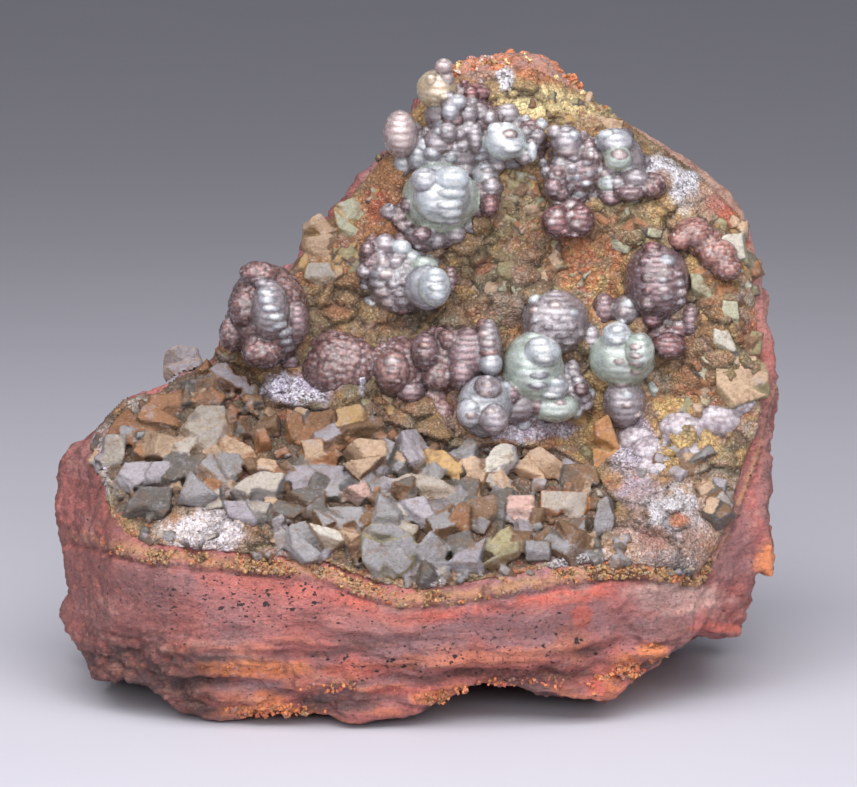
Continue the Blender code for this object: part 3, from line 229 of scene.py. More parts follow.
# Patches of colour on the rock face under the crystals
ROCK_ZONES = [
    (-27.0, 12.0, 5.0, 6.0, "dark_maroon", 0.5), (-31.6, 11.4, 1.6, 1.6, "pink_rock", 0.7),
    (-14.0, 12.0, 9.0, 2.8, "maroon", 0.5), (-4.0, 9.6, 6.0, 2.6, "pink_rock", 0.35),
    (-18.6, 6.4, 5.8, 0.7, "rock_grey", 0.8), (-17.0, 5.6, 6.6, 0.9, "bright_orange", 0.9),
    (-5.6, 5.4, 4.0, 1.0, "brick", 0.7), (-16.2, 3.4, 5.4, 1.1, "mauve", 0.8),
    (-14.8, 2.6, 2.4, 0.8, "rock_orange", 0.9), (-14.6, 1.2, 5.6, 0.8, "bright_orange", 0.9),
    (-26.0, 4.6, 4.0, 1.6, "rock_grey", 0.6), (-29.0, 7.0, 2.4, 2.0, "dark_maroon", 0.6),
    (-21.6, 2.6, 1.6, 1.4, "rock_orange", 0.4), (-7.0, 2.6, 4.4, 1.8, "rock_grey", 0.7),
    (-1.4, 3.4, 3.6, 0.6, "brick", 0.7), (1.6, 2.6, 2.4, 0.7, "bright_orange", 0.9),
    (4.4, 3.4, 2.0, 0.6, "rock_orange", 0.7), (10.6, 9.4, 8.0, 2.8, "mauve", 0.7),
    (2.0, 8.6, 3.4, 2.0, "mauve", 0.5), (15.8, 8.0, 2.2, 2.0, "rock_orange", 0.35),
    (9.0, 11.4, 7.0, 0.5, "brick", 0.2), (12.0, 5.0, 8.0, 0.8, "brick", 0.5),
    (11.0, 3.2, 5.0, 0.8, "rock_grey", 0.7), (18.6, 3.8, 1.2, 1.2, "brick", 0.9),
    (16.6, 10.8, 1.0, 1.6, "brick", 0.9), (25.8, 12.6, 5.4, 1.8, "salt", 0.45),
    (24.6, 9.6, 4.0, 1.4, "rock_grey", 0.6), (23.6, 7.2, 1.6, 1.0, "bright_orange", 1.0),
    (21.4, 5.6, 1.4, 1.2, "bright_orange", 1.0), (19.6, 4.0, 0.8, 1.6, "rock_orange", 0.8),
    (29.6, 9.6, 3.0, 0.5, "brick", 0.6), (31.0, 18.0, 3.0, 4.0, "mauve", 0.5),
    (26.0, 17.0, 4.0, 1.0, "pink_rock", 0.6), (35.4, 16.0, 1.4, 2.6, "bright_orange", 1.0),
    (35.0, 23.0, 1.0, 3.0, "rock_grey", 0.6), (-34.6, 20.0, 1.6, 6.0, "maroon", 0.5),
    (-31.4, 21.0, 0.8, 4.0, "brick", 0.4), (-33.4, 26.8, 2.0, 1.4, "pink_rock", 0.6),
    (6.0, 66.4, 5.0, 1.8, "pink_tan", 0.8), (10.0, 66.2, 4.6, 2.0, "pink_tan", 0.9),
    (16.0, 65.0, 4.2, 2.4, "salt", 0.7), (21.4, 61.0, 3.4, 2.4, "side_pink", 0.9),
    (25.4, 58.2, 3.4, 2.4, "side_pink", 0.9), (29.4, 55.4, 3.4, 2.6, "side_pink", 1.0),
    (32.6, 52.2, 2.2, 2.2, "side_pink", 0.8), (34.6, 42.0, 1.6, 5.0, "pink_rock", 0.5),
    (35.4, 30.0, 1.4, 6.0, "rock_grey", 0.5),
]

# Blocky crystals: seen face, how far it stands out, its lean across and up, the way its
# back runs off across and up, and the colours of the face and of the sides
# The side colours are partly the crystals' own colour and partly painted shade.
CRYSTALS = {
    "far_left_top": ([(-25.1, 37.4), (-23.8, 38), (-21.8, 37.6), (-21.3, 36.2), (-22.1, 34.6),
        (-24.4, 33.6), (-25.3, 35.2)], 1.6, (0.2, 0.5), (0, -0.6), "lilac", "tan"),
    "upper_left": ([(-21.6, 33.9), (-20.9, 35.4), (-20.1, 36.1), (-18.9, 36.2), (-18.1, 34.9),
        (-16.9, 34.8), (-16.8, 33.6)], 2.6, (0.3, 0.7), (0.9, -1), "lilac", "rust"),
    "left_wedge": ([(-26.6, 33), (-23.8, 33.2), (-22.8, 31.8), (-23.6, 29.6), (-26.4, 29),
        (-28, 30.8)], 1.8, (0.1, 0.9), (0.2, -0.8), "rust", "brown"),
    "pale_left": ([(-22.9, 31), (-21.6, 31.9), (-19.1, 31.9), (-18.8, 29.4), (-19.8, 28.4),
        (-20.1, 26.4), (-22.1, 26.1), (-24.4, 26.9), (-24.4, 28.4)],
        3, (0.15, 0.35), (0.3, -0.7), "beige", "tan"),
    "left_end": ([(-31.1, 28.9), (-28.8, 29.1), (-29.2, 26.4), (-30.1, 24.9), (-31.4, 25.6)],
        1.4, (-0.3, 0.3), (-0.3, -0.4), "beige", "grey"),
    "left_flat": ([(-30.3, 24.4), (-29.1, 26.2), (-24.6, 26.4), (-24.4, 24.4), (-27.6, 24),
        (-29.8, 23.2)], 2.2, (0, 0.8), (0, -0.8), "lilac", "grey"),
    "dark_left": ([(-29.4, 20.6), (-29.1, 21.9), (-27.6, 23.8), (-24.4, 23.7), (-24.6, 21.4),
        (-25.6, 20.5)], 2.4, (0.1, 0.2), (0, -0.5), "dark", "dark"),
    "grey_left": ([(-23.8, 22.7), (-22.6, 25.4), (-21.6, 24.4), (-19.8, 22.9), (-21.6, 21.8),
        (-24, 22.1)], 2.6, (-0.2, 0.4), (0.2, -0.5), "grey", "grey"),
    "brown_slope": ([(-20.1, 29.1), (-18.1, 28.7), (-16.1, 27.4), (-15.4, 25.4), (-20, 26.9)],
        1.6, (0.2, 0.8), (0.2, -0.8), "tan", "rust"),
    "splinter_high": ([(-13, 31.6), (-11.4, 31), (-11, 28), (-12.4, 27), (-13.4, 28.6)],
        1.8, (0.4, 0.2), (0.6, -0.3), "rust", "brown"),
    "grey_large": ([(-18.8, 23.4), (-17.1, 24.7), (-15.4, 25.4), (-13.1, 25.1), (-14.6, 21.9),
        (-15.4, 19.9), (-17.6, 22.4)], 3, (0.2, 0.5), (0.3, -0.8), "beige", "grey"),
    "lilac_low": ([(-19.4, 22.4), (-17.2, 22.4), (-15.8, 20.4), (-16.6, 19.2), (-18.8, 20.9)],
        2.4, (0, 0.2), (0.1, -0.5), "lilac", "grey"),
    "dark_middle": ([(-14.9, 20.4), (-13.6, 22.9), (-11.6, 23.7), (-9.1, 23.4), (-9.1, 20.9)],
        2.2, (0.1, 0.7), (0.2, -0.8), "dark", "brown"),
    "grey_lip_left": ([(-13.3, 17.9), (-12.6, 19.9), (-11.1, 20.4), (-9.6, 18.4), (-9.8, 16.4),
        (-11.6, 16.1)], 2.6, (0.1, 0.4), (0.2, -0.6), "grey", "grey"),
    "pale_triangle": ([(-10.8, 20.2), (-7.6, 19.4), (-7.1, 18.4), (-8.8, 17.4)],
        2.4, (0.2, 0.5), (0, -0.8), "pale", "tan"),
    "lilac_flat": ([(-12.6, 25.9), (-7.4, 25.9), (-7, 24), (-9.6, 23.5), (-12.8, 24.4)],
        1.8, (0, 0.9), (0, -0.7), "lilac", "grey"),
    "tan_large": ([(-7.6, 26.2), (-7.9, 27.9), (-5.6, 28.7), (-3.1, 28.4), (-2.9, 27.2),
        (-4.6, 25.6), (-5.9, 24.6)], 3.2, (0.1, 0.6), (0.9, -1.1), "tan", "brown"),
    "ochre_upper": ([(-8.1, 31.6), (-5.6, 32.1), (-4.4, 30.6), (-5.6, 29.4), (-7.8, 29.6)],
        1.9, (0.1, 0.6), (0.2, -0.7), "ochre", "brown"),
    "grey_small": ([(-5.6, 29.4), (-4.4, 31), (-3.6, 29.1)],
        1.8, (0.3, 0.3), (0.3, -0.5), "grey", "grey"),
    "tan_left": ([(-11.6, 28.4), (-9.4, 28.6), (-9, 26.4), (-10.8, 25.8)],
        1.8, (-0.1, 0.4), (0.1, -0.5), "tan", "rust"),
    "pink_beige": ([(-8.1, 23.2), (-6.6, 23.9), (-4.8, 24.2), (-4.4, 23.2), (-5.8, 21.9)],
        2.4, (0.1, 0.5), (0.2, -0.7), "pink_tan", "dark"),
    "grey_step": ([(-9.1, 21.7), (-5.1, 21.8), (-5.8, 20.4), (-8.4, 20.4)],
        2.2, (0, 0.6), (0, -0.6), "grey", "dark"),
    "long_wedge": ([(-2.4, 24.4), (-0.6, 25.2), (2.4, 24.6), (4.1, 23.7), (4.6, 22.9), (0.4, 23)],
        2.6, (0.1, 0.8), (0.2, -0.9), "beige", "tan"),
    "ochre_slot": ([(-0.6, 26.9), (0.9, 27.6), (2.9, 27.4), (4.4, 25.9), (4.4, 24.4), (0.4, 25.9)],
        1.9, (0.2, 0.6), (0.2, -0.6), "ochre", "brown"),
    "lilac_middle": ([(-2.1, 22.4), (0.9, 22.9), (2.1, 20.4), (0.9, 19.4), (-1.4, 21.4)],
        2.2, (0.2, 0.5), (0.1, -0.7), "lilac", "grey"),
    "largest_lip": ([(-5.6, 19.4), (-4.4, 20.1), (-2.1, 19.9), (-0.6, 19.2), (0.1, 17.9),
        (-0.4, 15.9), (-1.6, 14.9), (-4.1, 14.7), (-5.4, 16.2)],
        3.2, (0.05, 0.3), (0.3, -0.5), "grey", "olive"),
    "grey_right_of_it": ([(-0.3, 15.9), (0.2, 17.9), (1.4, 19.4), (3.4, 17.6), (1.9, 14.9)],
        2.4, (0.4, 0.2), (0.3, -0.4), "grey", "grey"),
    "orange_brown": ([(2.9, 18.9), (3.4, 20.9), (4.4, 22.4), (5.4, 21.9), (5.4, 19.4), (4.6, 17.9)],
        2.2, (0.3, 0.2), (0.3, -0.4), "rust", "brown"),
    "brown_slab": ([(4.9, 22.4), (7.9, 23.1), (8.1, 20.9), (6.9, 19.4)],
        2.1, (0.1, 0.5), (0.2, -0.6), "brown", "dark"),
    "lilac_lip": ([(2.4, 15.9), (5.4, 17.6), (7.1, 18.9), (6.4, 16.4), (7.1, 14.9), (3.4, 14.9)],
        2.2, (0, 0.4), (0.1, -0.5), "lilac", "grey"),
    "beige_oval": ([(6.9, 25.4), (7.4, 27.4), (8.4, 28.2), (9.9, 27.9), (10.2, 26.4), (8.9, 24.9)],
        2.6, (0.1, 0.3), (0.2, -0.6), "pale", "lilac"),
    "tan_hood": ([(9.7, 25.4), (11.4, 27.4), (12.4, 27.9), (14.4, 26.4), (15.9, 24.9),
        (10.4, 24.6)], 2.6, (0.1, 0.6), (0.3, -0.8), "tan", "rust"),
    "pink_grey": ([(8.4, 22.9), (11.9, 22.9), (11.9, 20.4), (8.9, 20.6)],
        2, (0.1, 0.6), (0.1, -0.6), "pink_tan", "grey"),
    "olive_lip": ([(6.4, 16.4), (6.9, 17.9), (8.4, 19.4), (9.4, 19.9), (10.6, 18.4), (10.4, 16.9),
        (7.4, 15.4)], 2.5, (0.1, 0.4), (0.2, -0.6), "olive", "brown"),
    "grey_lip_right": ([(10.9, 18.4), (13.4, 18.4), (13.4, 16.4), (10.9, 16.4)],
        2, (0.2, 0.4), (0.2, -0.5), "grey", "dark"),
    "beige_right": ([(12.4, 23.4), (17.2, 23.2), (17, 20.6), (12.6, 20.4)],
        1.9, (0.3, 0.6), (0.2, -0.7), "beige", "orange"),
    "grey_upright": ([(18.2, 22.4), (19.2, 22.9), (19.9, 20.4), (19.4, 18.4), (18.4, 17.9),
        (17.4, 18.4)], 2.5, (0.3, 0.1), (0.4, -0.3), "grey", "dark"),
    "yellow_upright": ([(17.6, 30), (19.2, 31), (20.4, 27.6), (19.6, 23.6), (17.8, 24.2)],
        2, (0.5, 0.1), (0.4, -0.3), "orange", "ochre"),
    "ochre_slope": ([(14.9, 32.4), (17, 31.6), (17.2, 29.8), (15.2, 29.2)],
        1.7, (0.2, 0.6), (0.2, -0.5), "ochre", "brown"),
    "wall_pink_tan": ([(-11.4, 50.2), (-9.6, 51.2), (-7.8, 49.2), (-8.6, 46.4), (-10.9, 46.6),
        (-11.6, 48)], 1.6, (0.2, 0.2), (0.2, -0.5), "tan", "ochre"),
    "wall_green_grey": ([(-8.4, 51.8), (-6.2, 52.8), (-4.6, 51), (-5.4, 48.4), (-7.6, 48.8)],
        1.5, (0.2, 0.3), (0.2, -0.5), "green_grey", "ochre"),
    "wall_beige": ([(-11, 46.2), (-8.6, 46.2), (-8, 44.6), (-9.8, 43.6), (-11.2, 44.6)],
        1.5, (0.1, 0.3), (0.1, -0.5), "beige", "ochre"),
    "wall_pebble_low": ([(6, 44.4), (7.4, 44.6), (8.2, 43.4), (7.4, 42), (5.8, 42.2), (5.2, 43.2)],
        1.3, (0.1, 0.2), (0.1, -0.3), "tan", "brown"),
    "wall_pebble_high": ([(8.2, 46.2), (9.8, 46.4), (10.2, 45), (9, 43.8), (7.9, 44.8)],
        1.3, (0.1, 0.2), (0.1, -0.3), "olive", "brown"),
    "wall_pebble_right": ([(9.4, 43.8), (11, 44.2), (11, 42.4), (9.8, 41.8)],
        1.2, (0.2, 0.2), (0.1, -0.3), "green_grey", "brown"),
    "wall_white": ([(30.6, 48.9), (32.6, 49.1), (33, 46.6), (31.6, 46.2), (30.4, 47.2)],
        1.6, (0.3, 0.2), (0.2, -0.4), "pale", "green_grey"),
    "wall_grey_green": ([(27.4, 45.2), (28.4, 45), (29.6, 43.2), (29.4, 42), (27.6, 42.2)],
        1.5, (0.3, 0.2), (0.2, -0.4), "green_grey", "olive"),
    "wall_olive": ([(30.6, 42.4), (32.2, 42.2), (32.4, 39.9), (30.6, 39.9)],
        1.3, (0.2, 0.2), (0.2, -0.4), "green_grey", "brown"),
    "wall_pale": ([(29.8, 39.6), (31.4, 39.2), (32.1, 37.4), (30.2, 37.1), (29.6, 38.2)],
        1.5, (0.2, 0.2), (0.2, -0.4), "pale", "olive"),
    "wall_large_olive": ([(29.9, 36.4), (32.4, 37.2), (35.2, 36), (35.4, 33), (31.4, 31.6),
        (30, 33.4)], 1.8, (0.3, 0.3), (0.2, -0.6), "tan", "olive"),
    "wall_top_slab": ([(17.4, 61), (20.8, 60.4), (20.6, 58.9), (17.6, 59.4)],
        1.2, (0.1, 0.6), (0.1, -0.5), "tan", "brown"),
}

# Rounded tilasite groups: place, half width, half height, share of it sunk in what is
# behind it, and kind; the first ones are the bodies that the others sit on
KNOBS = {
    "tilasite_top_left": [
        (3.4, 57.2, 3.6, 2.8, 0.84, "lilac"), (8.6, 57.8, 3.0, 2.8, 0.84, "lilac"),
        (5.4, 60.6, 3.2, 2.2, 0.84, "plum"), (-0.7, 57.6, 2.0, 2.8, 0.8, "lilac"),
        (1.4, 48.8, 3.4, 1.8, 0.7, "plum"), (7.0, 52.8, 1.8, 2.0, 0.8, "plum"),
        (-1.2, 50.8, 1.8, 1.8, 0.74, "plum"), (11.4, 58.0, 1.8, 2.8, 0.84, "plum"),
        (5.8, 63.2, 2.4, 0.9, 0.7, "mulberry"), (3.4, 60.8, 2.6, 1.9, 0.7, "lilac"),
        (2.4, 52.6, 3.8, 3.4, 0.32, "green"), (2.5, 53.0, 2.9, 2.9, 0.66, "white"),
        (0.9, 54.4, 1.5, 1.3, 0.62, "ice"), (3.6, 54.5, 1.8, 1.3, 0.6, "white"),
        (3.3, 53.2, 1.8, 0.7, 0.62, "white"), (3.2, 52.1, 1.6, 0.6, 0.62, "white"),
        (3.3, 51.2, 1.4, 0.6, 0.62, "white"), (3.4, 50.4, 1.1, 0.5, 0.62, "ice"),
        (2.1, 63.6, 2.1, 1.9, 0.34, "clear"), (3.1, 64.6, 0.8, 0.85, 0.6, "blush"),
        (2.9, 62.8, 1.0, 0.5, 0.66, "clear"), (1.5, 64.4, 0.6, 0.7, 0.7, "clear"),
        (2.8, 65.8, 1.0, 0.8, 0.3, "blush"), (-1.6, 59.0, 1.75, 2.4, 0.3, "blush"),
        (3.4, 61.3, 0.85, 0.85, 0.4, "ice"), (2.2, 58.2, 1.4, 1.5, 0.5, "lilac"),
        (0.1, 56.8, 1.1, 1.5, 0.45, "ice"), (-1.3, 56.0, 1.0, 1.4, 0.45, "ice"),
        (1.7, 57.1, 0.9, 0.8, 0.6, "ice"), (3.5, 56.7, 0.85, 0.75, 0.5, "ice"),
        (4.6, 57.8, 0.9, 0.8, 0.7, "lilac"), (4.3, 59.2, 0.9, 0.9, 0.7, "lilac"),
        (6.3, 61.2, 0.95, 1.0, 0.45, "lilac"), (5.9, 58.6, 0.85, 1.6, 0.6, "lilac"),
        (7.4, 60.6, 0.8, 0.9, 0.6, "lilac"), (9.1, 61.0, 1.4, 1.45, 0.45, "lilac"),
        (8.9, 58.3, 2.1, 1.9, 0.36, "white"), (8.0, 59.5, 0.9, 0.7, 0.66, "white"),
        (9.3, 58.9, 0.9, 0.6, 0.66, "blush"), (9.4, 57.6, 1.3, 0.5, 0.66, "white"),
        (6.3, 56.9, 0.85, 0.7, 0.5, "ice"), (6.9, 56.0, 1.2, 0.7, 0.5, "lilac"),
        (7.0, 54.7, 1.35, 1.4, 0.4, "ice"), (7.2, 55.3, 0.9, 0.4, 0.66, "lilac"),
        (7.1, 54.6, 0.8, 0.4, 0.66, "white"), (8.2, 55.9, 0.85, 0.8, 0.5, "lilac"),
        (9.7, 55.9, 1.0, 0.65, 0.5, "lilac"), (10.9, 56.6, 0.8, 0.8, 0.5, "lilac"),
        (11.6, 57.2, 0.55, 1.1, 0.4, "white"), (12.5, 59.9, 0.8, 0.8, 0.25, "ice"),
        (11.0, 60.4, 0.65, 0.6, 0.5, "ice"), (11.0, 59.0, 0.7, 0.8, 0.6, "lilac"),
        (5.6, 49.9, 1.3, 1.15, 0.5, "lilac"), (3.9, 49.0, 1.2, 0.9, 0.6, "lilac"),
        (2.1, 48.4, 1.0, 0.9, 0.5, "lilac"), (0.6, 49.0, 1.0, 0.8, 0.5, "plum"),
        (-1.2, 49.8, 0.7, 0.55, 0.5, "blush"), (-2.0, 50.4, 0.6, 0.6, 0.5, "plum"),
        (-1.9, 49.2, 0.6, 0.5, 0.5, "plum"), (7.4, 51.8, 1.0, 1.2, 0.5, "mulberry"),
        (6.2, 51.4, 0.8, 0.9, 0.6, "plum"), (-0.9, 51.9, 0.8, 0.9, 0.6, "plum"),
    ],
    "tilasite_top_right": [
        (16.2, 55.6, 3.4, 3.6, 0.82, "plum"), (20.4, 55.8, 2.6, 3.2, 0.82, "lilac"),
        (21.6, 53.8, 3.0, 1.4, 0.76, "plum"), (14.2, 54.2, 1.5, 2.6, 0.8, "plum"),
        (15.0, 58.3, 1.6, 1.7, 0.4, "lilac"), (13.9, 59.2, 0.85, 0.8, 0.4, "lilac"),
        (15.7, 58.8, 0.8, 0.7, 0.66, "ice"), (15.1, 57.3, 1.1, 0.45, 0.62, "blush"),
        (14.4, 56.1, 0.95, 0.65, 0.4, "lilac"), (15.6, 55.6, 0.85, 0.6, 0.45, "lilac"),
        (17.0, 56.2, 0.85, 0.6, 0.45, "lilac"), (17.2, 55.1, 0.85, 0.55, 0.45, "lilac"),
        (17.5, 56.9, 0.45, 0.5, 0.45, "blush"), (18.0, 56.8, 0.4, 0.5, 0.45, "blush"),
        (18.2, 58.2, 0.6, 0.8, 0.5, "plum"), (17.3, 57.9, 0.7, 0.7, 0.6, "plum"),
        (15.1, 54.6, 0.45, 0.4, 0.4, "ice"), (16.1, 54.7, 0.6, 0.4, 0.4, "ice"),
        (17.0, 54.1, 0.65, 0.4, 0.4, "ice"), (15.6, 54.0, 0.5, 0.4, 0.4, "lilac"),
        (16.3, 53.1, 0.95, 0.6, 0.4, "ice"), (17.1, 52.3, 0.9, 0.6, 0.4, "lilac"),
        (14.5, 53.0, 0.8, 0.7, 0.5, "plum"), (14.2, 55.0, 0.6, 0.6, 0.5, "plum"),
        (19.8, 58.3, 2.0, 1.35, 0.4, "ice"), (19.1, 58.9, 1.0, 0.6, 0.62, "white"),
        (20.2, 56.6, 1.4, 1.25, 0.4, "green"), (20.3, 56.9, 0.9, 0.6, 0.66, "blush"),
        (19.0, 55.1, 0.8, 0.4, 0.5, "blush"), (19.3, 54.0, 1.1, 0.8, 0.4, "green"),
        (19.3, 54.2, 0.8, 0.35, 0.66, "white"), (22.0, 54.6, 1.4, 0.9, 0.5, "lilac"),
        (19.5, 52.6, 1.2, 0.8, 0.5, "plum"), (21.4, 53.1, 1.6, 0.8, 0.5, "plum"),
        (23.6, 53.8, 1.4, 1.3, 0.6, "pebble"), (15.2, 50.6, 2.5, 2.0, 0.4, "mulberry"),
        (14.0, 50.2, 1.6, 1.7, 0.6, "mulberry"), (16.5, 50.3, 1.5, 1.7, 0.6, "mulberry"),
        (14.2, 51.9, 0.65, 0.55, 0.5, "blush"), (15.5, 51.8, 0.75, 0.55, 0.5, "blush"),
        (14.1, 51.0, 0.65, 0.5, 0.5, "blush"), (15.6, 50.9, 0.65, 0.45, 0.5, "blush"),
        (13.6, 50.2, 0.65, 0.45, 0.5, "blush"), (16.1, 50.0, 0.7, 0.5, 0.5, "blush"),
        (16.9, 51.1, 0.6, 0.6, 0.5, "mulberry"), (14.7, 49.3, 0.9, 0.5, 0.5, "mulberry"),
        (15.9, 49.1, 0.9, 0.5, 0.5, "mulberry"),
    ],
    "tilasite_horns": [
        (-1.2, 44.4, 4.1, 3.7, 0.78, "lilac"), (-4.4, 46.4, 1.3, 2.6, 0.7, "plum"),
        (3.4, 44.2, 1.0, 2.0, 0.6, "plum"), (-3.1, 48.0, 1.2, 1.1, 0.4, "lilac"),
        (-1.4, 47.7, 1.0, 0.8, 0.3, "white"), (-0.5, 46.7, 1.0, 0.8, 0.3, "white"),
        (0.9, 45.9, 1.4, 0.9, 0.4, "green"), (-0.9, 45.6, 0.85, 0.6, 0.4, "lilac"),
        (-0.3, 44.8, 0.8, 0.6, 0.4, "ice"), (1.2, 43.6, 2.3, 2.2, 0.4, "ice"),
        (1.9, 43.7, 1.6, 2.0, 0.45, "white"), (2.0, 44.5, 1.0, 0.55, 0.6, "white"),
        (2.1, 43.7, 1.0, 0.5, 0.6, "white"), (2.0, 42.9, 1.0, 0.5, 0.6, "white"),
        (-3.1, 46.0, 1.25, 0.9, 0.4, "lilac"), (-3.3, 46.2, 0.6, 0.5, 0.6, "blush"),
        (-3.0, 45.0, 1.2, 0.6, 0.4, "blush"), (-3.5, 44.1, 1.4, 0.65, 0.4, "lilac"),
        (-3.1, 43.3, 1.2, 0.55, 0.4, "blush"), (-4.5, 42.2, 1.05, 1.0, 0.25, "ice"),
        (-4.4, 42.1, 0.7, 0.4, 0.62, "white"), (-2.0, 46.2, 1.0, 0.9, 0.5, "lilac"),
        (-2.2, 44.0, 0.9, 0.7, 0.5, "lilac"), (-1.6, 43.2, 1.0, 0.6, 0.5, "lilac"),
        (-2.6, 42.3, 1.0, 0.6, 0.5, "blush"), (-1.3, 42.3, 1.1, 0.6, 0.5, "lilac"),
        (-1.3, 41.5, 1.0, 0.6, 0.5, "mulberry"), (-1.4, 40.8, 0.8, 0.5, 0.5, "mulberry"),
    ],
    "tilasite_left_egg": [
        (-14.8, 40.9, 4, 5, 0.4, "pebble"), (-15.8, 45.0, 1.8, 1.2, 0.4, "pebble"),
        (-14.6, 41.4, 1.9, 3.0, 0.66, "lilac"), (-15.3, 44.0, 0.9, 0.55, 0.6, "lilac"),
        (-15.0, 43.2, 1.0, 0.5, 0.6, "ice"), (-14.8, 42.4, 1.05, 0.5, 0.6, "ice"),
        (-14.6, 41.6, 1.1, 0.5, 0.6, "ice"), (-14.2, 40.8, 1.1, 0.5, 0.6, "white"),
        (-13.9, 40.0, 1.1, 0.5, 0.6, "ice"), (-13.5, 39.2, 1.1, 0.5, 0.6, "ice"),
        (-13.2, 38.4, 1.0, 0.5, 0.6, "ice"), (-13.0, 37.6, 0.9, 0.45, 0.6, "lilac"),
        (-17.2, 41.4, 1.3, 1.8, 0.5, "pebble"), (-11.9, 40.2, 1.3, 2.2, 0.5, "plum"),
        (-12.6, 36.4, 1.3, 1.2, 0.4, "plum"), (-15.4, 37.2, 2.0, 1.5, 0.5, "pebble"),
        (-18.3, 39, 1.3, 1.8, 0.3, "pebble"),
    ],
    "tilasite_band": [
        (-7.4, 35.8, 4.4, 4.0, 0.8, "pebble"), (-1.8, 35.2, 3.6, 3.8, 0.74, "pebble"),
        (2.6, 36.2, 3.6, 3.8, 0.74, "pebble"), (5.2, 37.0, 2.6, 2.8, 0.6, "plum"),
        (-2.4, 35.2, 1.7, 2.2, 0.6, "pink"), (-2.4, 36.2, 0.9, 0.5, 0.5, "blush"),
        (-2.3, 35.3, 0.8, 0.45, 0.5, "pink"), (-2.2, 34.4, 0.8, 0.45, 0.5, "pink"),
        (1.0, 37.2, 1.5, 2.0, 0.6, "plum"), (0.9, 37.8, 0.7, 0.45, 0.5, "pink"),
        (0.9, 36.9, 0.7, 0.45, 0.5, "pink"), (3.4, 38.4, 1.2, 1.2, 0.5, "pebble"),
        (7.3, 37.6, 1.3, 3.0, 0.36, "lilac"), (6.7, 39.9, 0.75, 0.7, 0.4, "pink"),
        (7.0, 39.0, 0.85, 0.55, 0.5, "blush"), (7.2, 38.1, 0.85, 0.5, 0.5, "blush"),
        (7.3, 37.2, 0.9, 0.5, 0.5, "pink"), (7.5, 36.0, 1.2, 1.2, 0.45, "ice"),
        (4.6, 35.0, 1.4, 1.8, 0.6, "plum"), (2.2, 34.6, 1.4, 1.2, 0.5, "pebble"),
        (1.9, 32.6, 1.3, 1.4, 0.4, "pink"), (2.6, 31.2, 1.2, 1.3, 0.4, "pink"),
        (-0.6, 33.2, 1.6, 1.2, 0.6, "plum"),
    ],
    "tilasite_centre": [
        (9.6, 32.4, 3.4, 2.6, 0.74, "lilac"), (14.6, 33.2, 3.2, 2.8, 0.74, "lilac"),
        (13.9, 40.2, 3.5, 3.3, 0.5, "lilac"), (12.0, 42.4, 0.85, 0.65, 0.45, "white"),
        (12.0, 41.3, 0.8, 0.5, 0.5, "blush"), (12.0, 40.4, 0.8, 0.5, 0.5, "lilac"),
        (12.1, 39.5, 0.8, 0.5, 0.5, "lilac"), (13.9, 41.8, 0.9, 0.65, 0.5, "blush"),
        (14.0, 40.7, 0.8, 0.45, 0.5, "lilac"), (13.3, 39.8, 0.8, 0.45, 0.5, "lilac"),
        (15.6, 41.1, 0.75, 0.6, 0.5, "ice"), (15.4, 39.8, 0.8, 0.6, 0.55, "lilac"),
        (14.6, 39.0, 1.0, 0.45, 0.5, "lilac"), (15.1, 38.2, 1.0, 0.45, 0.5, "lilac"),
        (16.4, 39.2, 0.6, 0.6, 0.5, "lilac"), (16.0, 37.4, 1.2, 0.7, 0.6, "lilac"),
        (11.7, 35.7, 3.05, 3.5, 0.28, "green"), (12.7, 37.2, 1.85, 1.55, 0.62, "white"),
        (12.4, 38.1, 1.1, 0.55, 0.62, "white"), (12.8, 36.6, 1.2, 0.5, 0.62, "white"),
        (12.2, 35.0, 1.15, 0.5, 0.62, "ice"), (12.1, 34.0, 1.1, 0.5, 0.62, "ice"),
        (13.9, 33.8, 1.45, 1.35, 0.42, "ice"), (13.9, 34.2, 1.0, 0.5, 0.6, "white"),
        (13.6, 33.0, 1.2, 0.4, 0.6, "white"), (13.9, 31.7, 2.3, 1.5, 0.45, "green"),
        (14.3, 32.1, 0.8, 0.35, 0.62, "blush"), (15.6, 35.3, 0.95, 1.3, 0.4, "lilac"),
        (6.8, 31.8, 2.7, 3.1, 0.42, "ice"), (7.2, 33.6, 1.4, 1.3, 0.56, "lilac"),
        (7.2, 33.9, 0.7, 0.45, 0.6, "blush"), (7.0, 33.1, 0.7, 0.4, 0.6, "blush"),
        (5.4, 31.1, 1.35, 1.5, 0.5, "ice"), (5.6, 31.8, 0.8, 0.45, 0.6, "white"),
        (5.5, 30.9, 0.7, 0.4, 0.6, "blush"), (7.8, 30.4, 1.5, 1.6, 0.46, "lilac"),
        (7.5, 31.2, 0.7, 0.4, 0.6, "blush"), (20.6, 36.6, 3.4, 2.8, 0.42, "green"),
        (17.4, 38.6, 1.2, 1.6, 0.5, "lilac"), (18.8, 41.4, 1.3, 1.8, 0.6, "plum"),
        (21.1, 41.4, 1.55, 1.6, 0.4, "lilac"), (21.3, 42.0, 0.7, 0.6, 0.56, "white"),
        (20.8, 41.1, 0.7, 0.4, 0.56, "blush"), (20.7, 40.4, 0.8, 0.4, 0.56, "ice"),
        (20.1, 38.9, 1.55, 1.35, 0.45, "white"), (20.1, 39.4, 0.9, 0.5, 0.6, "white"),
        (20.1, 38.4, 1.0, 0.4, 0.6, "white"), (22.4, 37.2, 1.5, 2.0, 0.5, "green"),
        (22.1, 37.7, 0.8, 0.4, 0.56, "blush"), (22.1, 36.9, 0.8, 0.4, 0.56, "blush"),
        (22.1, 36.1, 0.8, 0.4, 0.56, "blush"), (22.1, 35.3, 0.8, 0.4, 0.56, "blush"),
        (20.4, 36.3, 0.8, 0.4, 0.6, "blush"), (20.8, 32.2, 2.2, 2.6, 0.4, "lilac"),
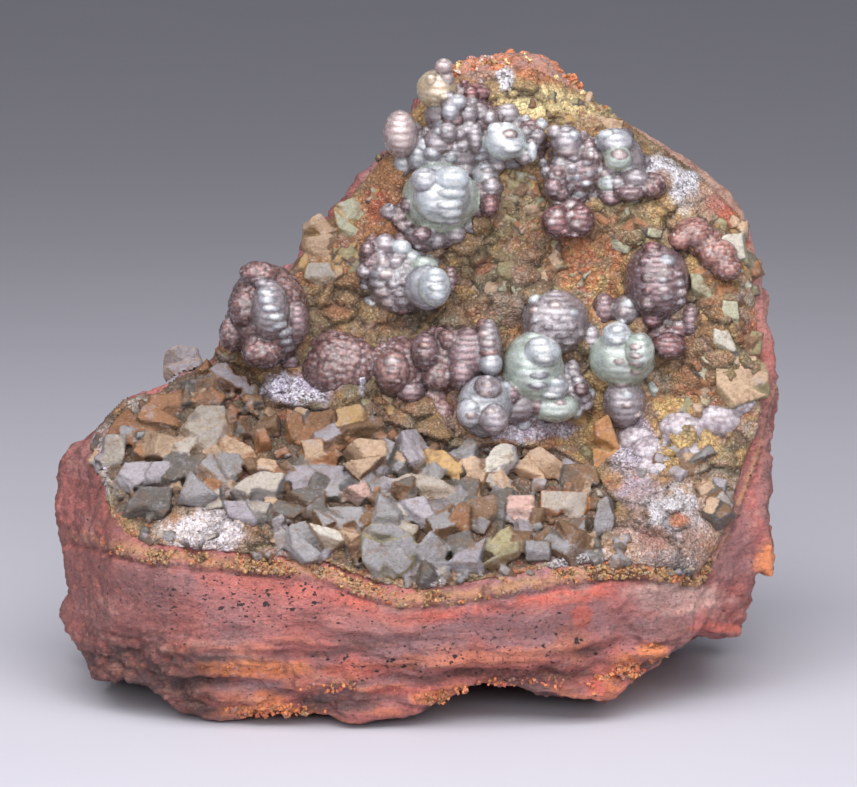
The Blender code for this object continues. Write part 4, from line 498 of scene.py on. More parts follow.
        (20.6, 34.1, 1.0, 0.45, 0.56, "blush"), (21.1, 32.9, 0.75, 0.55, 0.56, "white"),
        (21.1, 31.9, 0.8, 0.4, 0.56, "blush"), (22.0, 31.0, 0.8, 0.4, 0.56, "blush"),
        (23.9, 34.0, 0.9, 1.6, 0.5, "green"),
    ],
    "tilasite_right": [
        (24.1, 44.2, 3.4, 4, 0.44, "plum"), (24.8, 38.4, 2.4, 1.8, 0.6, "plum"),
        (23.6, 47.5, 1.0, 0.8, 0.5, "mulberry"), (23.0, 46.2, 0.9, 0.7, 0.5, "plum"),
        (25.0, 46.3, 1.0, 0.75, 0.5, "ice"), (24.8, 45.2, 0.9, 0.5, 0.5, "blush"),
        (24.6, 44.4, 0.9, 0.5, 0.5, "lilac"), (24.7, 43.6, 0.9, 0.5, 0.5, "blush"),
        (24.9, 42.8, 0.9, 0.5, 0.5, "lilac"), (26.1, 45.0, 0.8, 0.5, 0.5, "plum"),
        (26.2, 44.1, 0.8, 0.5, 0.5, "lilac"), (26.3, 43.2, 0.8, 0.5, 0.5, "blush"),
        (26.3, 42.3, 0.8, 0.5, 0.5, "lilac"), (23.2, 44.6, 0.8, 0.6, 0.5, "plum"),
        (23.3, 43.4, 0.8, 0.6, 0.5, "mulberry"), (23.2, 42.0, 1.0, 0.8, 0.5, "plum"),
        (23.6, 40.5, 1.1, 1.0, 0.4, "mulberry"), (24.7, 40.4, 0.9, 0.6, 0.5, "blush"),
        (24.6, 39.4, 0.9, 0.5, 0.5, "pink"), (26.2, 39.6, 1.2, 1.1, 0.4, "mulberry"),
        (26.2, 40.0, 0.7, 0.4, 0.56, "blush"), (25.2, 37.8, 1.9, 1.3, 0.6, "mulberry"),
        (27.4, 40.4, 1.2, 1.8, 0.5, "plum"),
    ],
    "tilasite_low_right": [
        (22.6, 28.2, 2.8, 2, 0.84, "frost"), (23.4, 26.8, 2.2, 2, 0.8, "frost"),
        (26.6, 29.4, 3.0, 2.2, 0.84, "frost"), (30.4, 30.4, 2.8, 2.2, 0.84, "frost"),
        (24, 25.4, 2.6, 2, 0.84, "frost"), (28.2, 26.8, 2.4, 1.6, 0.84, "frost"),
        (32.4, 32.2, 1.8, 1.8, 0.8, "frost"),
    ],
    "tilasite_ridge": [
        (27.6, 49.0, 2.2, 1.6, 0.6, "rind"), (28.9, 48.0, 2.1, 1.6, 0.7, "rind"),
        (30.1, 46.9, 2.0, 1.6, 0.7, "rind"), (31.0, 45.6, 1.5, 1.3, 0.7, "rind"),
        (28.2, 49.6, 1.4, 0.9, 0.7, "rind"), (26.4, 48.4, 1.2, 1.1, 0.6, "rind"),
    ],
}

# Kinds of the bubbles strewn over a wide body of each kind
BUBBLES = {"lilac": ("lilac", "lilac", "ice", "plum"), "plum": ("plum", "lilac", "lilac"),
           "mulberry": ("mulberry", "blush"), "white": ("ice",), "ice": ("ice", "lilac")}

# Kinds of tilasite: colours of tip, flank and skirt, then its beads' width, height and relief; the
# tip colour is partly painted highlight
KINDS = {
    "white": ((255, 255, 255), (192, 202, 212), (202, 212, 208), 2.2, 0.85, 0.08),
    "ice": ((242, 244, 250), (152, 154, 165), (160, 158, 165), 2.0, 0.8, 0.08),
    "blush": ((244, 226, 224), (160, 142, 144), (156, 136, 136), 2.0, 0.75, 0.08),
    "lilac": ((216, 208, 214), (120, 109, 116), (122, 106, 108), 1.8, 0.75, 0.09),
    "green": ((240, 250, 246), (166, 178, 171), (194, 205, 186), 2.6, 0.85, 0.08),
    "clear": ((240, 224, 202), (170, 151, 124), (196, 186, 156), 1.6, 0.8, 0.08),
    "plum": ((186, 156, 161), (89, 64, 70), (79, 54, 58), 1.4, 0.7, 0.1),
    "mulberry": ((186, 134, 137), (80, 42, 46), (69, 34, 38), 1.2, 0.62, 0.11),
    "pebble": ((162, 124, 122), (94, 64, 66), (72, 44, 46), 0.55, 0.48, 0.17),
    "frost": ((220, 210, 218), (156, 138, 146), (148, 124, 116), 0.6, 0.5, 0.09),
    "pink": ((196, 156, 150), (112, 76, 77), (88, 56, 58), 0.8, 0.55, 0.11),
    "rind": ((196, 148, 138), (126, 78, 72), (86, 48, 42), 0.46, 0.32, 0.13),
}

# Small crystals between the large ones: row spacing, size range, share kept
LEDGE_SHARDS = [(2.5, (2.8, 4.0), 0.8), (1.6, (1.5, 2.5), 0.85), (1.05, (0.6, 1.2), 0.55)]

# Patches of small crystals low on the crust: middle, half sizes, number, size range
LOW_SHARDS = [
    (30.2, 22.4, 1.4, 1.8, 7, (2.4, 3.4)), (25.4, 26.0, 3.0, 1.3, 14, (1.6, 2.8)),
    (19.2, 17.6, 2.2, 2.2, 26, (0.8, 1.7)), (24.6, 14.8, 4.0, 0.9, 26, (0.5, 1.1)),
    (-31.0, 26.0, 1.4, 3.0, 20, (0.8, 1.6)), (-24.0, 18.6, 4.0, 0.8, 20, (0.6, 1.2)),
    (-12.0, 17.0, 4.0, 1.0, 26, (0.6, 1.3)), (4.0, 14.8, 9.0, 0.7, 50, (0.5, 1.2)),
]

# Colours for random draws, the more usual ones more than once
LEDGE_SHARD_COLOURS = [
    "grey", "grey", "lilac", "lilac", "beige", "dark", "dark", "tan", "brown", "grey",
]
UPPER_SHARD_COLOURS = ["brown", "brown", "rust", "tan", "dark", "brown", "rust", "grey"]
WALL_SHARD_COLOURS = ["ochre", "olive", "olive", "brown", "green_grey", "rust", "tan"]
WALL_COBBLES = ["olive", "tan", "ochre", "green_grey", "ochre", "olive", "beige", "yellow"]
CRUMB_COLOURS = ["rock_tan", "rock_tan", "tan", "rock_tan", "ochre", "rock_orange", "brown"]
TOP_COLOURS = ["pink_tan", "rock_tan", "rock_orange", "salt", "pink_rock", "orange", "straw"]
ORANGE_COLOURS = ["bright_orange", "rock_tan", "orange", "pink_rock", "brick", "bright_orange"]

# Crumbs on the top edge and in the orange patches: middle, half sizes, number, size range
TOP_CRUMBS = [
    (15.0, 65.0, 4.6, 1.3, 130, (0.3, 0.9)), (6.0, 65.8, 4.4, 1.1, 120, (0.3, 0.9)),
    (11.0, 66.0, 3.0, 0.9, 60, (0.3, 0.8)), (18.6, 62.4, 3.6, 1.2, 90, (0.25, 0.7)),
]
ORANGE_CRUMBS = [
    (-17.0, 5.7, 6.4, 0.8, 60, (0.15, 0.45)), (-14.6, 1.3, 5.6, 0.6, 90, (0.2, 0.6)),
    (1.6, 2.5, 2.6, 0.6, 30, (0.2, 0.5)), (4.4, 3.4, 2.0, 0.5, 20, (0.2, 0.5)),
    (23.6, 7.2, 1.7, 1.0, 40, (0.2, 0.7)), (21.4, 5.6, 1.5, 1.2, 40, (0.2, 0.7)),
    (19.8, 4.0, 1.0, 1.6, 30, (0.2, 0.6)), (18.6, 3.8, 1.2, 1.2, 26, (0.2, 0.6)),
    (12.0, 4.2, 6.0, 0.5, 40, (0.15, 0.4)), (-7.0, 3.6, 5.0, 0.6, 40, (0.15, 0.4)),
]

# Patches of small crystals on the wall: middle, half sizes, number, size range
WALL_SHARDS = [
    (-8.6, 47.8, 4.0, 4.4, 60, (0.9, 2.2)), (-3.0, 53.0, 2.0, 4.0, 26, (0.5, 1.1)),
    (9.6, 52.0, 3.0, 3.6, 70, (0.8, 1.8)), (7.4, 43.6, 3.2, 2.8, 34, (0.9, 1.8)),
    (31.0, 44.0, 3.0, 6.4, 46, (0.9, 2.2)), (31.4, 35.6, 3.6, 3.4, 30, (1.0, 2.4)),
    (20.6, 50.4, 4.0, 2.6, 34, (0.9, 2.0)), (17.0, 61.4, 6.0, 1.6, 26, (0.6, 1.5)),
    (-19.2, 38.6, 1.6, 3.6, 20, (0.6, 1.4)), (14.6, 44.6, 3.0, 3.6, 30, (0.7, 1.5)),
    (18.4, 29.4, 2.0, 3.4, 20, (0.8, 1.6)), (27.0, 24.0, 4.0, 2.0, 20, (0.8, 1.6)),
    (-4.0, 31.4, 4.0, 1.6, 24, (0.6, 1.2)), (28.4, 31.8, 3.4, 1.4, 20, (0.7, 1.3)),
]


def linear(colour):
    """Linear light values of a colour given by name or as screen values."""
    values = np.array(COLOURS[colour] if isinstance(colour, str) else colour) / 255
    return np.where(values <= 0.04045, values / 12.92, ((values + 0.055) / 1.055) ** 2.4)


def seen(u, v, depth):
    """Points, in millimetres, that are seen at (u, v) and lie at a depth."""
    u, v, depth = np.broadcast_arrays(np.asarray(u, float), v, depth)
    target = np.stack([u, (v - VIEW_MIDDLE) * UPWARD[1],
                       VIEW_HEIGHT + (v - VIEW_MIDDLE) * UPWARD[2]], axis=-1)
    along = target - EYE
    return EYE + along * ((depth - EYE[1]) / along[..., 1])[..., None] + SHIFT


def seen_at(points):
    """The (u, v) place that each point is seen at."""
    along = points - SHIFT - EYE
    along = along * (VIEW_DISTANCE / (along @ FORWARD))[:, None]
    offset = EYE + along - MIDDLE
    return offset[:, 0], VIEW_MIDDLE + offset @ UPWARD


def wobble(points, size, octaves=3, seed=0):
    """Smooth noise, about -1 to 1; size is its wavelength in millimetres."""
    shift = Vector((seed * 17.3, seed * 5.1, 0))
    values = [noise.fractal(Vector(point) / size + shift, 1.0, 2.0, octaves) for point in points]
    return np.array(values)


def cells(points, sizes):
    """Each point's distance to its cell's middle, how near the next cell is, its middle."""
    near = [noise.voronoi(Vector(point)) for point in points / sizes]
    first = np.array([found[0][0] for found in near])
    return (first, np.array([found[0][1] for found in near]) - first,
            np.array([found[1][0] for found in near]))


def cell_values(middles):
    """Three random values for each cell, 0 to 1."""
    return np.array([noise.cell_vector(Vector(middle) * 9) for middle in middles])


def inside(u, v, corners):
    """Which places lie inside a closed outline."""
    result = np.zeros(np.shape(u), bool)
    for (u0, v0), (u1, v1) in zip(corners, corners[1:] + corners[:1]):
        crosses = (v0 > v) != (v1 > v)
        result ^= crosses & (u < u0 + (u1 - u0) * (v - v0) / ((v1 - v0) or 1))
    return result


def blurred(values, mask, sigma):
    """Values averaged over their masked neighbours; sigma is in grid steps."""
    reach = np.arange(-int(3 * sigma), int(3 * sigma) + 1)
    kernel = np.exp(-0.5 * (reach / sigma) ** 2)

    def spread(grid):
        for axis in (0, 1):
            grid = np.apply_along_axis(np.convolve, axis, grid, kernel, "same")
        return grid

    return spread(np.where(mask, values, 0)) / np.maximum(spread(mask.astype(float)), 1e-9)


def new_object(name, points, faces):
    """A mesh object from points in millimetres."""
    mesh = bpy.data.meshes.new(name)
    mesh.from_pydata(np.asarray(points) * MM, [], faces)
    item = bpy.data.objects.new(name, mesh)
    bpy.context.scene.collection.objects.link(item)
    return item


def read_points(item):
    """An object's vertices in millimetres."""
    values = np.empty(len(item.data.vertices) * 3, np.float32)
    item.data.vertices.foreach_get("co", values)
    return values.reshape(-1, 3).astype(float) / MM


def write_points(item, points):
    """Move an object's vertices to these places in millimetres."""
    item.data.vertices.foreach_set("co", (points * MM).astype(np.float32).ravel())
    item.data.update()


def read_normals(item):
    """The direction that the surface faces at each vertex."""
    values = np.empty(len(item.data.vertices) * 3, np.float32)
    item.data.vertex_normals.foreach_get("vector", values)
    return values.reshape(-1, 3).astype(float)


def mean_of_neighbours(item, values):
    """For each vertex, the mean of a value over the vertices it has an edge to."""
    ends = np.empty(len(item.data.edges) * 2, np.int32)
    item.data.edges.foreach_get("vertices", ends)
    first, second = ends[::2], ends[1::2]
    count = len(item.data.vertices)
    columns = []
    for column in values.reshape(count, -1).T:
        columns.append(np.bincount(first, column[second], count)
                       + np.bincount(second, column[first], count))
    number = np.bincount(ends, minlength=count)
    return (np.stack(columns, axis=1) / np.maximum(number, 1)[:, None]).reshape(values.shape)


def relax(item, rounds):
    """Smooth an object's surface."""
    points = read_points(item)
    for _ in range(rounds):
        points = (points + mean_of_neighbours(item, points)) / 2
    write_points(item, points)


def remesh(item, voxel):
    """Give an object an even mesh with this edge length in millimetres."""
    step = item.modifiers.new("remesh", "REMESH")
    step.mode = "VOXEL"
    step.voxel_size = voxel * MM
    graph = bpy.context.evaluated_depsgraph_get()
    result = bpy.data.meshes.new_from_object(item.evaluated_get(graph))
    item.modifiers.clear()
    item.data = result


def drop_bits(item):
    """Take off the loose bits of a piece."""
    work = bmesh.new()
    work.from_mesh(item.data)
    known = set()
    gone = []
    for first in work.verts:
        if first in known:
            continue
        known.add(first)
        part = [first]
        for vert in part:
            for edge in vert.link_edges:
                other = edge.other_vert(vert)
                if other not in known:
                    known.add(other)
                    part.append(other)
        if len(part) < LEAST_BIT:
            gone += part
    bmesh.ops.delete(work, geom=gone, context="VERTS")
    work.to_mesh(item.data)
    work.free()


def tint(item, colours, extra=0.0):
    """Store a colour and one more value for each vertex, for the materials to read."""
    layer = item.data.color_attributes.new("tint", "FLOAT_COLOR", "POINT")
    values = np.ones((len(colours), 4), np.float32)
    values[:, :3] = colours
    values[:, 3] = extra
    layer.data.foreach_set("color", values.ravel())


def tint_faces(item, colours):
    """Store a colour for each face."""
    layer = item.data.color_attributes.new("tint", "FLOAT_COLOR", "CORNER")
    sizes = [len(face.vertices) for face in item.data.polygons]
    values = np.zeros((sum(sizes), 4), np.float32)
    values[:, :3] = np.repeat(colours, sizes, axis=0)
    layer.data.foreach_set("color", values.ravel())


def clipped(corners, across, limit):
    """The part of an outline that lies on one side of a line."""
    kept = []
    for corner, after in zip(corners, corners[1:] + corners[:1]):
        here, there = np.dot(corner, across) - limit, np.dot(after, across) - limit
        if here <= 0:
            kept.append(corner)
        if here * there < 0:
            share = here / (here - there)
            kept.append((corner[0] + (after[0] - corner[0]) * share,
                         corner[1] + (after[1] - corner[1]) * share))
    return kept


def area_of(corners):
    """Area inside an outline."""
    pairs = zip(corners, corners[1:] + corners[:1])
    return abs(sum(a[0] * b[1] - b[0] * a[1] for a, b in pairs)) / 2


def add_piece(item, material, smooth=True):
    """Finish a piece: its shading, material, slot and body."""
    item.data.materials.clear()
    item.data.materials.append(material)
    item.data.polygons.foreach_set("use_smooth", [smooth] * len(item.data.polygons))
    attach(item, "root")
    return item


def rock_tree():
    """Search tree of the solid rock, in millimetres."""
    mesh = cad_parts["ironstone_matrix"].data
    return BVHTree.FromPolygons([vert.co / MM for vert in mesh.vertices],
                                [list(face.vertices) for face in mesh.polygons])


def hit_depth(tree, u, v):
    """Depth at which the sight line through (u, v) meets a surface, or None."""
    start = Vector(seen(u, v, -120))
    along = (Vector(seen(u, v, 0)) - start).normalized()
    place = tree.ray_cast(start, along)[0]
    return None if place is None else place.y - SHIFT[1]


def blend_zones(colours, extra, u, v, zones, ruffle):
    """Blend each patch's colour, and its last value if it has one, into the rest."""
    for place_u, place_v, half_u, half_v, colour, strength, *more in zones:
        reach = np.hypot((u - place_u) / half_u, (v - place_v) / half_v) + 0.4 * ruffle
        share = strength * np.clip((1.15 - reach) / 0.45, 0, 1)
        colours += (linear(colour) - colours) * share[:, None]
        if more:
            extra += (more[0] - extra) * share


class Bed:
    """The granular crust behind the crystals, as depths on a grid of (u, v)."""

    def __init__(self, tree):
        us = np.arange(*BED_ACROSS, BED_STEP)
        vs = np.arange(*BED_UP, BED_STEP)
        self.u, self.v = np.meshgrid(us, vs)
        self.mask = inside(self.u, self.v, CRUST_OUTLINE)
        base = np.zeros(self.u.shape)
        for row, column in zip(*np.nonzero(self.mask)):
            depth = hit_depth(tree, us[column], vs[row])
            if depth is None:
                self.mask[row, column] = False
            else:
                base[row, column] = depth
        self.base = blurred(base, self.mask, 4)
        away = np.clip(blurred(self.mask.astype(float), np.ones_like(self.mask), 7) * 2 - 1, 0, 1)
        self.base = self.base - BED_THICKNESS * np.sqrt(away)
        self.shape_surface(away)

    def shape_surface(self, away):
        """Lumps, cobbles with gaps between them, and grains on the smooth base."""
        rows, columns = np.nonzero(self.mask)
        flat = np.stack([self.u[rows, columns], self.v[rows, columns],
                         self.base[rows, columns]], axis=1)
        bent = flat + 0.45 * np.stack([wobble(flat, 1.6, 3, seed) for seed in (21, 22, 23)], axis=1)
        _, gap, middles = cells(bent, COBBLE_SIZE)
        values = cell_values(middles)
        slope = ((values - 0.5) * (bent / COBBLE_SIZE - middles)).sum(axis=1)
        stone = np.clip(gap / 0.35, 0, 1)
        stone = stone * (2 - stone)
        _, small_gap, pebbles = cells(bent, PEBBLE_SIZE)
        pebble = np.clip(small_gap / 0.4, 0, 1)
        grain_distance, _, grains = cells(flat, GRAIN_SIZE)
        self.coarse = np.clip(0.7 + 1.5 * wobble(flat, 6, 2, 24), 0, 1)
        relief = 0.6 * wobble(flat, 4.2, 3, 1)
        relief += self.coarse * (0.85 * stone + 1.3 * slope * stone + 0.4 * values[:, 0])
        relief += (0.32 - 0.14 * self.coarse) * pebble * cell_values(pebbles)[:, 1]
        relief += (0.22 - 0.16 * self.coarse) * (0.6 - grain_distance)
        ledge = inside(flat[:, 0], flat[:, 1], LEDGE_OUTLINE)
        relief = np.where(ledge, 0.3 * relief - 0.7, relief)
        self.rows, self.columns = rows, columns
        self.values = values
        self.pebble = cell_values(pebbles)
        self.grain = cell_values(grains)
        # Where painted shade goes: the hollows between cobbles and pebbles.
        self.hollow_shade = np.clip(0.9 * (1 - stone) * self.coarse + 0.45 * (1 - pebble) - 0.1, 0, 1)
        self.seam = np.clip(1 - np.abs(gap - 0.35) / 0.2, 0, 1) * self.coarse
        self.depth = self.base.copy()
        self.depth[rows, columns] -= relief * (0.15 + 0.85 * away[rows, columns])

    def at(self, u, v):
        """Depth of the smooth base near a place."""
        column = int(round((u - self.u[0, 0]) / BED_STEP))
        row = int(round((v - self.v[0, 0]) / BED_STEP))
        row = max(0, min(row, self.u.shape[0] - 1))
        column = max(0, min(column, self.u.shape[1] - 1))
        return self.base[row, column] if self.mask[row, column] else None

    def trim(self, item, below):
        """Take off the part of a piece that lies further than this under the base."""
        points = read_points(item)
        u, v = seen_at(points)
        columns = np.clip(np.rint((u - self.u[0, 0]) / BED_STEP), 0, self.u.shape[1] - 1)
        rows = np.clip(np.rint((v - self.v[0, 0]) / BED_STEP), 0, self.u.shape[0] - 1)
        place = (rows.astype(int), columns.astype(int))
        deep = self.mask[place] & (points[:, 1] - SHIFT[1] > self.base[place] + below)
        work = bmesh.new()
        work.from_mesh(item.data)
        gone = [vert for vert, far in zip(work.verts, deep) if far]
        bmesh.ops.delete(work, geom=gone, context="VERTS")
        work.to_mesh(item.data)
        work.free()
        drop_bits(item)

    def build(self):
        """The mesh, with its rim turned back into the rock."""
        depth = self.depth.copy()
        filled = self.mask.astype(float)
        rim = self.mask & (blurred(filled, np.ones_like(self.mask), 0.7) < 0.98)
        depth[rim] += RIM_TURN
        index = np.full(self.mask.shape, -1)
        index[self.rows, self.columns] = np.arange(len(self.rows))
        corners = np.stack([index[:-1, :-1], index[:-1, 1:], index[1:, 1:], index[1:, :-1]], axis=-1)
        faces = corners[(corners >= 0).all(axis=-1)]
        u, v = self.u[self.rows, self.columns], self.v[self.rows, self.columns]
        points = seen(u, v, depth[self.rows, self.columns])
        item = new_object("ochre_crust", points, faces.tolist())
        self.paint(item, u, v)
        return item

    def paint(self, item, u, v):
        """Each cobble with its own colour, patches over them, rusty seams, painted shade in the
        hollows and under the ledge crystals.
        """
        flat = np.stack([u, v, np.zeros_like(u)], axis=1)
        ruffle = wobble(flat, 1.7, 3, 2)
        palette = np.array([linear(name) for name in WALL_COBBLES])
        chosen = palette[(self.values[:, 1] * 0.999 * len(palette)).astype(int)]
        second = palette[(self.pebble[:, 0] * 0.999 * len(palette)).astype(int)]
        colours = second + (chosen - second) * (0.15 + 0.6 * self.coarse[:, None])
        fine = 1 - self.coarse[:, None]
        colours += (linear("orange") - colours) * fine * np.clip(0.5 + 2 * ruffle, 0, 0.8)[:, None]
        blush = np.clip((self.pebble[:, 2] - 0.75) * 3, 0, 0.6)[:, None]
        colours += (linear("pink_tan") - colours) * blush
        # Painted shade: the crust under the ledge crystals, seen only in the gaps between them, is
        # darkened.
        ledge = inside(u, v, LEDGE_OUTLINE)[:, None]
        colours += (linear("dark") - colours) * 0.75 * ledge
        extra = np.zeros(len(u))
        blend_zones(colours, extra, u, v, BED_ZONES, ruffle)
        colours *= (0.84 + 0.3 * self.grain[:, 0])[:, None]
        plain = (extra < 0.3)[:, None]
        colours += (linear("rust") - colours) * 0.45 * self.seam[:, None] * plain
        red = np.clip((self.grain[:, 2] - 0.82) * 6, 0, 0.6)[:, None] * plain
        colours += (linear("red") - colours) * red * (0.2 + 0.8 * fine)
        # Painted shade: the hollows between cobbles and pebbles are darkened.
        colours += (linear("umber_and_shade") - colours) * 0.9 * self.hollow_shade[:, None]
        shade = np.interp(u, (4, 20), (0.64, 0.97))
        shade += np.clip((v - 55) / 4, 0, 1) * (1 - shade)
        shade += np.clip((28 - v) / 4, 0, 1) * (0.95 - shade)
        tint(item, colours * (shade + (1 - shade) * extra)[:, None], extra)


def build_rock():
    """The rock: the solid's shape with a broken surface."""
    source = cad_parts["ironstone_matrix"]
    item = bpy.data.objects.new("ironstone_rock", source.data.copy())
    bpy.context.scene.collection.objects.link(item)
    remesh(item, ROCK_VOXEL)
    relax(item, 2)
    refine_front(item)
    relax(item, 1)
    break_surface(item)
    paint_rock(item)
    return item


def below_lip(u, v):
    """How far a place lies below the lip of the ledge."""
    lip = np.array(LIP)
    return np.interp(u, lip[:, 0], lip[:, 1]) - v


def refine_front(item):
    """Finer faces where the rock shows in front."""
    work = bmesh.new()
    work.from_mesh(item.data)
    middles = np.array([face.calc_center_median() for face in work.faces]) / MM
    facing = np.array([face.normal.y for face in work.faces])
    u, v = seen_at(middles)
    crystals = inside(u, v, CRUST_OUTLINE)
    chosen = (facing < 0.25) & ((below_lip(u, v) > -1.5) | ~crystals)
    edges = {edge for face, take in zip(work.faces, chosen) if take for edge in face.edges}
    bmesh.ops.subdivide_edges(work, edges=list(edges), cuts=1, use_grid_fill=True)
    work.to_mesh(item.data)
    work.free()


def break_surface(item):
    """Chips, waves and thin beds of rock, held back on the smooth face and under the base."""
    points = read_points(item)
    normals = read_normals(item)
    u, v = seen_at(points)
    below = below_lip(u, v)
    face = np.clip(-normals[:, 1] * 2 - 0.4, 0, 1) * np.clip(below / 2, 0, 1)
    face *= np.clip((v - 5) / 3, 0, 1) * np.clip((22 - u) / 3, 0, 1)
    face = np.maximum(face, np.clip((v - 46) / 5, 0, 0.85) * np.clip((u - 12) / 4, 0, 1))
    bent = points + 0.5 * np.stack([wobble(points, 2.2, 2, seed) for seed in (31, 32, 33)], axis=1)
    height = np.zeros(len(points))
    for size, depth in CHIPS:
        _, gap, middles = cells(bent, size)
        values = cell_values(middles) - 0.5
        slope = (values * (bent / size - middles)).sum(axis=1)
        joined = np.clip(gap / 0.22, 0, 1)
        joined = joined * joined * (3 - 2 * joined)
        height += depth * joined * (slope + 0.35 * values[:, 0]) * (1 - 0.85 * face)
    waves = wobble(points, 8, 3, 1)
    height += waves * (0.5 - 0.2 * face) + wobble(points, 1.4, 3, 2) * (0.22 - 0.1 * face)
    low_beds = np.clip((10.5 - v) / 3, 0, 1) * np.clip(-normals[:, 1] * 2, 0, 1)
    height += 0.9 * low_beds * thin_beds(points)
    height += 0.5 * np.clip((-19 - u) / 4, 0, 1) * low_beds * wobble(points, 0.9, 3, 35)
    groove = np.exp(-((below - 0.8 - 0.3 * waves) / 0.3) ** 2)
    height -= 0.5 * groove * np.clip(-normals[:, 1] * 2, 0, 1)
    crusty = np.exp(-((u - 9) / 6) ** 2 - ((v - 66) / 2.5) ** 2)
    height += crusty * (0.9 * np.abs(wobble(points, 1.5, 3, 3)) + 0.3)
    height *= np.clip(points[:, 2] / 1.0, 0, 1)
    points += normals * height[:, None]
    low, high = (np.array(corner) / MM for corner in CAD_BOX)
    write_points(item, np.clip(points, low, high))


def thin_beds(points):
    """Uneven layers of the rock, nearly level."""
    return wobble(points * (0.2, 0.35, 1.0) + (0, 0, 0.04) * points[:, :1], 1.7, 3, 34)


def paint_rock(item):
    """Maroon ironstone, brick-red under the lip, with orange, grey and mauve patches, and painted
    shade on faces turned to the left.
    """
    points = read_points(item)
    normals = read_normals(item)
    u, v = seen_at(points)
    ruffle = wobble(points, 2.2, 3, 6)
    drift = wobble(points, 9, 3, 7)[:, None]
    colours = np.tile(linear("maroon"), (len(u), 1))
    colours += (linear("mauve") - colours) * np.clip(drift * 1.6, 0, 0.8)
    colours += (linear("dark_maroon") - colours) * np.clip(-drift * 1.4, 0, 0.7)
    hidden = np.clip(normals[:, 1] * 3, 0, 1)[:, None]
    rusty = np.clip(wobble(points, 5, 4, 8)[:, None] * 2.4 - 0.4, 0, 0.9)
    colours += (linear("rock_orange") - colours) * rusty * hidden
    extra = np.zeros(len(u))
    patched = colours.copy()
    paint_lip(patched, u, v, ruffle)
    blend_zones(patched, extra, u, v, ROCK_ZONES, ruffle)
    beds = thin_beds(points)[:, None]
    low = np.clip((10 - v) / 3, 0, 1)[:, None]
    patched += (linear("iron_black") - patched) * np.clip(-beds * 2.4 - 0.2, 0, 0.75) * low
    patched += (linear("rock_orange") - patched) * np.clip(beds * 2 - 0.35, 0, 0.55) * low
    patched *= np.interp(u, (-20, 10), (1.12, 1.24))[:, None]
    front = np.clip(0.6 + 0.5 * ruffle - normals[:, 1] * 2.5, 0, 1)
    front *= np.clip(1.5 + ruffle - points[:, 1] / 9, 0, 1)
    colours += (patched - colours) * front[:, None]
    edge = np.clip((v - 41 + 9 * ruffle) / 10, 0, 1) * np.clip((u - 13) / 3, 0, 1)
    edge *= np.clip(normals[:, 0] * 3 - 0.3, 0, 1)
    colours += (linear("side_pink") - colours) * 0.75 * edge[:, None]
    # Painted shade: faces turned to the left are darker.
    left = np.clip(-normals[:, 0] * 1.6 - 0.3, 0, 1)[:, None]
    colours += (linear("dark_maroon") - colours) * left * 0.75
    top = np.clip((v - 62.5) / 2, 0, 1) * np.clip(1.3 - normals[:, 1] * 1.6, 0, 1)
    crown = linear("pink_tan") + (linear("bright_orange") - linear("pink_tan")) * (
        np.clip(0.5 + 1.6 * ruffle, 0, 1)[:, None])
    colours += (crown - colours) * 0.85 * top[:, None]
    corner = np.clip((-17 - u) / 5, 0, 1) * np.clip((9.5 + 3 * ruffle - v) / 3, 0, 1)
    colours += (linear("iron_black") - colours) * 0.6 * corner[:, None]
    pits = np.zeros(len(u))
    for place_u, place_v, half_u, half_v, strength in PIT_PATCHES:
        reach = np.hypot((u - place_u) / half_u, (v - place_v) / half_v)
        pits = np.maximum(pits, strength * np.clip(1.2 - reach, 0, 1))
    tint(item, colours, 0.25 + 0.75 * pits)


def paint_lip(colours, u, v, ruffle):
    """The tan edge of the lip, painted shade in the groove under it, and the brick-red band."""
    below = below_lip(u, v) + 0.5 * ruffle
    tan = np.clip(1 - np.abs(below + 0.2) / 0.9, 0, 1)[:, None]
    dark = np.clip(1 - np.abs(below - 0.75) / 0.35, 0, 1)[:, None]
    reach = np.clip((u + 20) / 8, 0, 1) * np.clip((20.5 - u) / 2, 0, 1)
    band = (np.clip(1 - np.abs(below - 1.9) / 0.95, 0, 1) * 1.6 * reach).clip(0, 0.9)[:, None]
    colours += (linear("brick") - colours) * band
    colours += (linear("rock_tan") - colours) * tan * 0.9
    # Painted shade: a dark grey line in the groove just under the lip.
    colours += (linear("rock_grey") - colours) * dark * 0.7


def solid_of(points, faces, cuts):
    """Corners and faces of a closed crystal, with the parts outside its cuts taken off."""
    work = bmesh.new()
    verts = [work.verts.new(point) for point in points]
    if faces is None:
        bmesh.ops.convex_hull(work, input=verts)
        loose = [vert for vert in work.verts if not vert.link_faces]
        bmesh.ops.delete(work, geom=loose, context="VERTS")
    else:
        for face in faces:
            work.faces.new([verts[index] for index in face])
        bmesh.ops.recalc_face_normals(work, faces=work.faces)
    for place, normal in cuts:
        bmesh.ops.bisect_plane(work, geom=work.verts[:] + work.edges[:] + work.faces[:],
                               plane_co=place, plane_no=normal, clear_outer=True)
        rim = [edge for edge in work.edges if edge.is_boundary]
        bmesh.ops.holes_fill(work, edges=rim, sides=0)
    work.verts.index_update()
    work.normal_update()
    corners = [vert.co.copy() for vert in work.verts]
    rings = [[vert.index for vert in face.verts] for face in work.faces]
    normals = [face.normal.copy() for face in work.faces]
    work.free()
    return corners, rings, normals


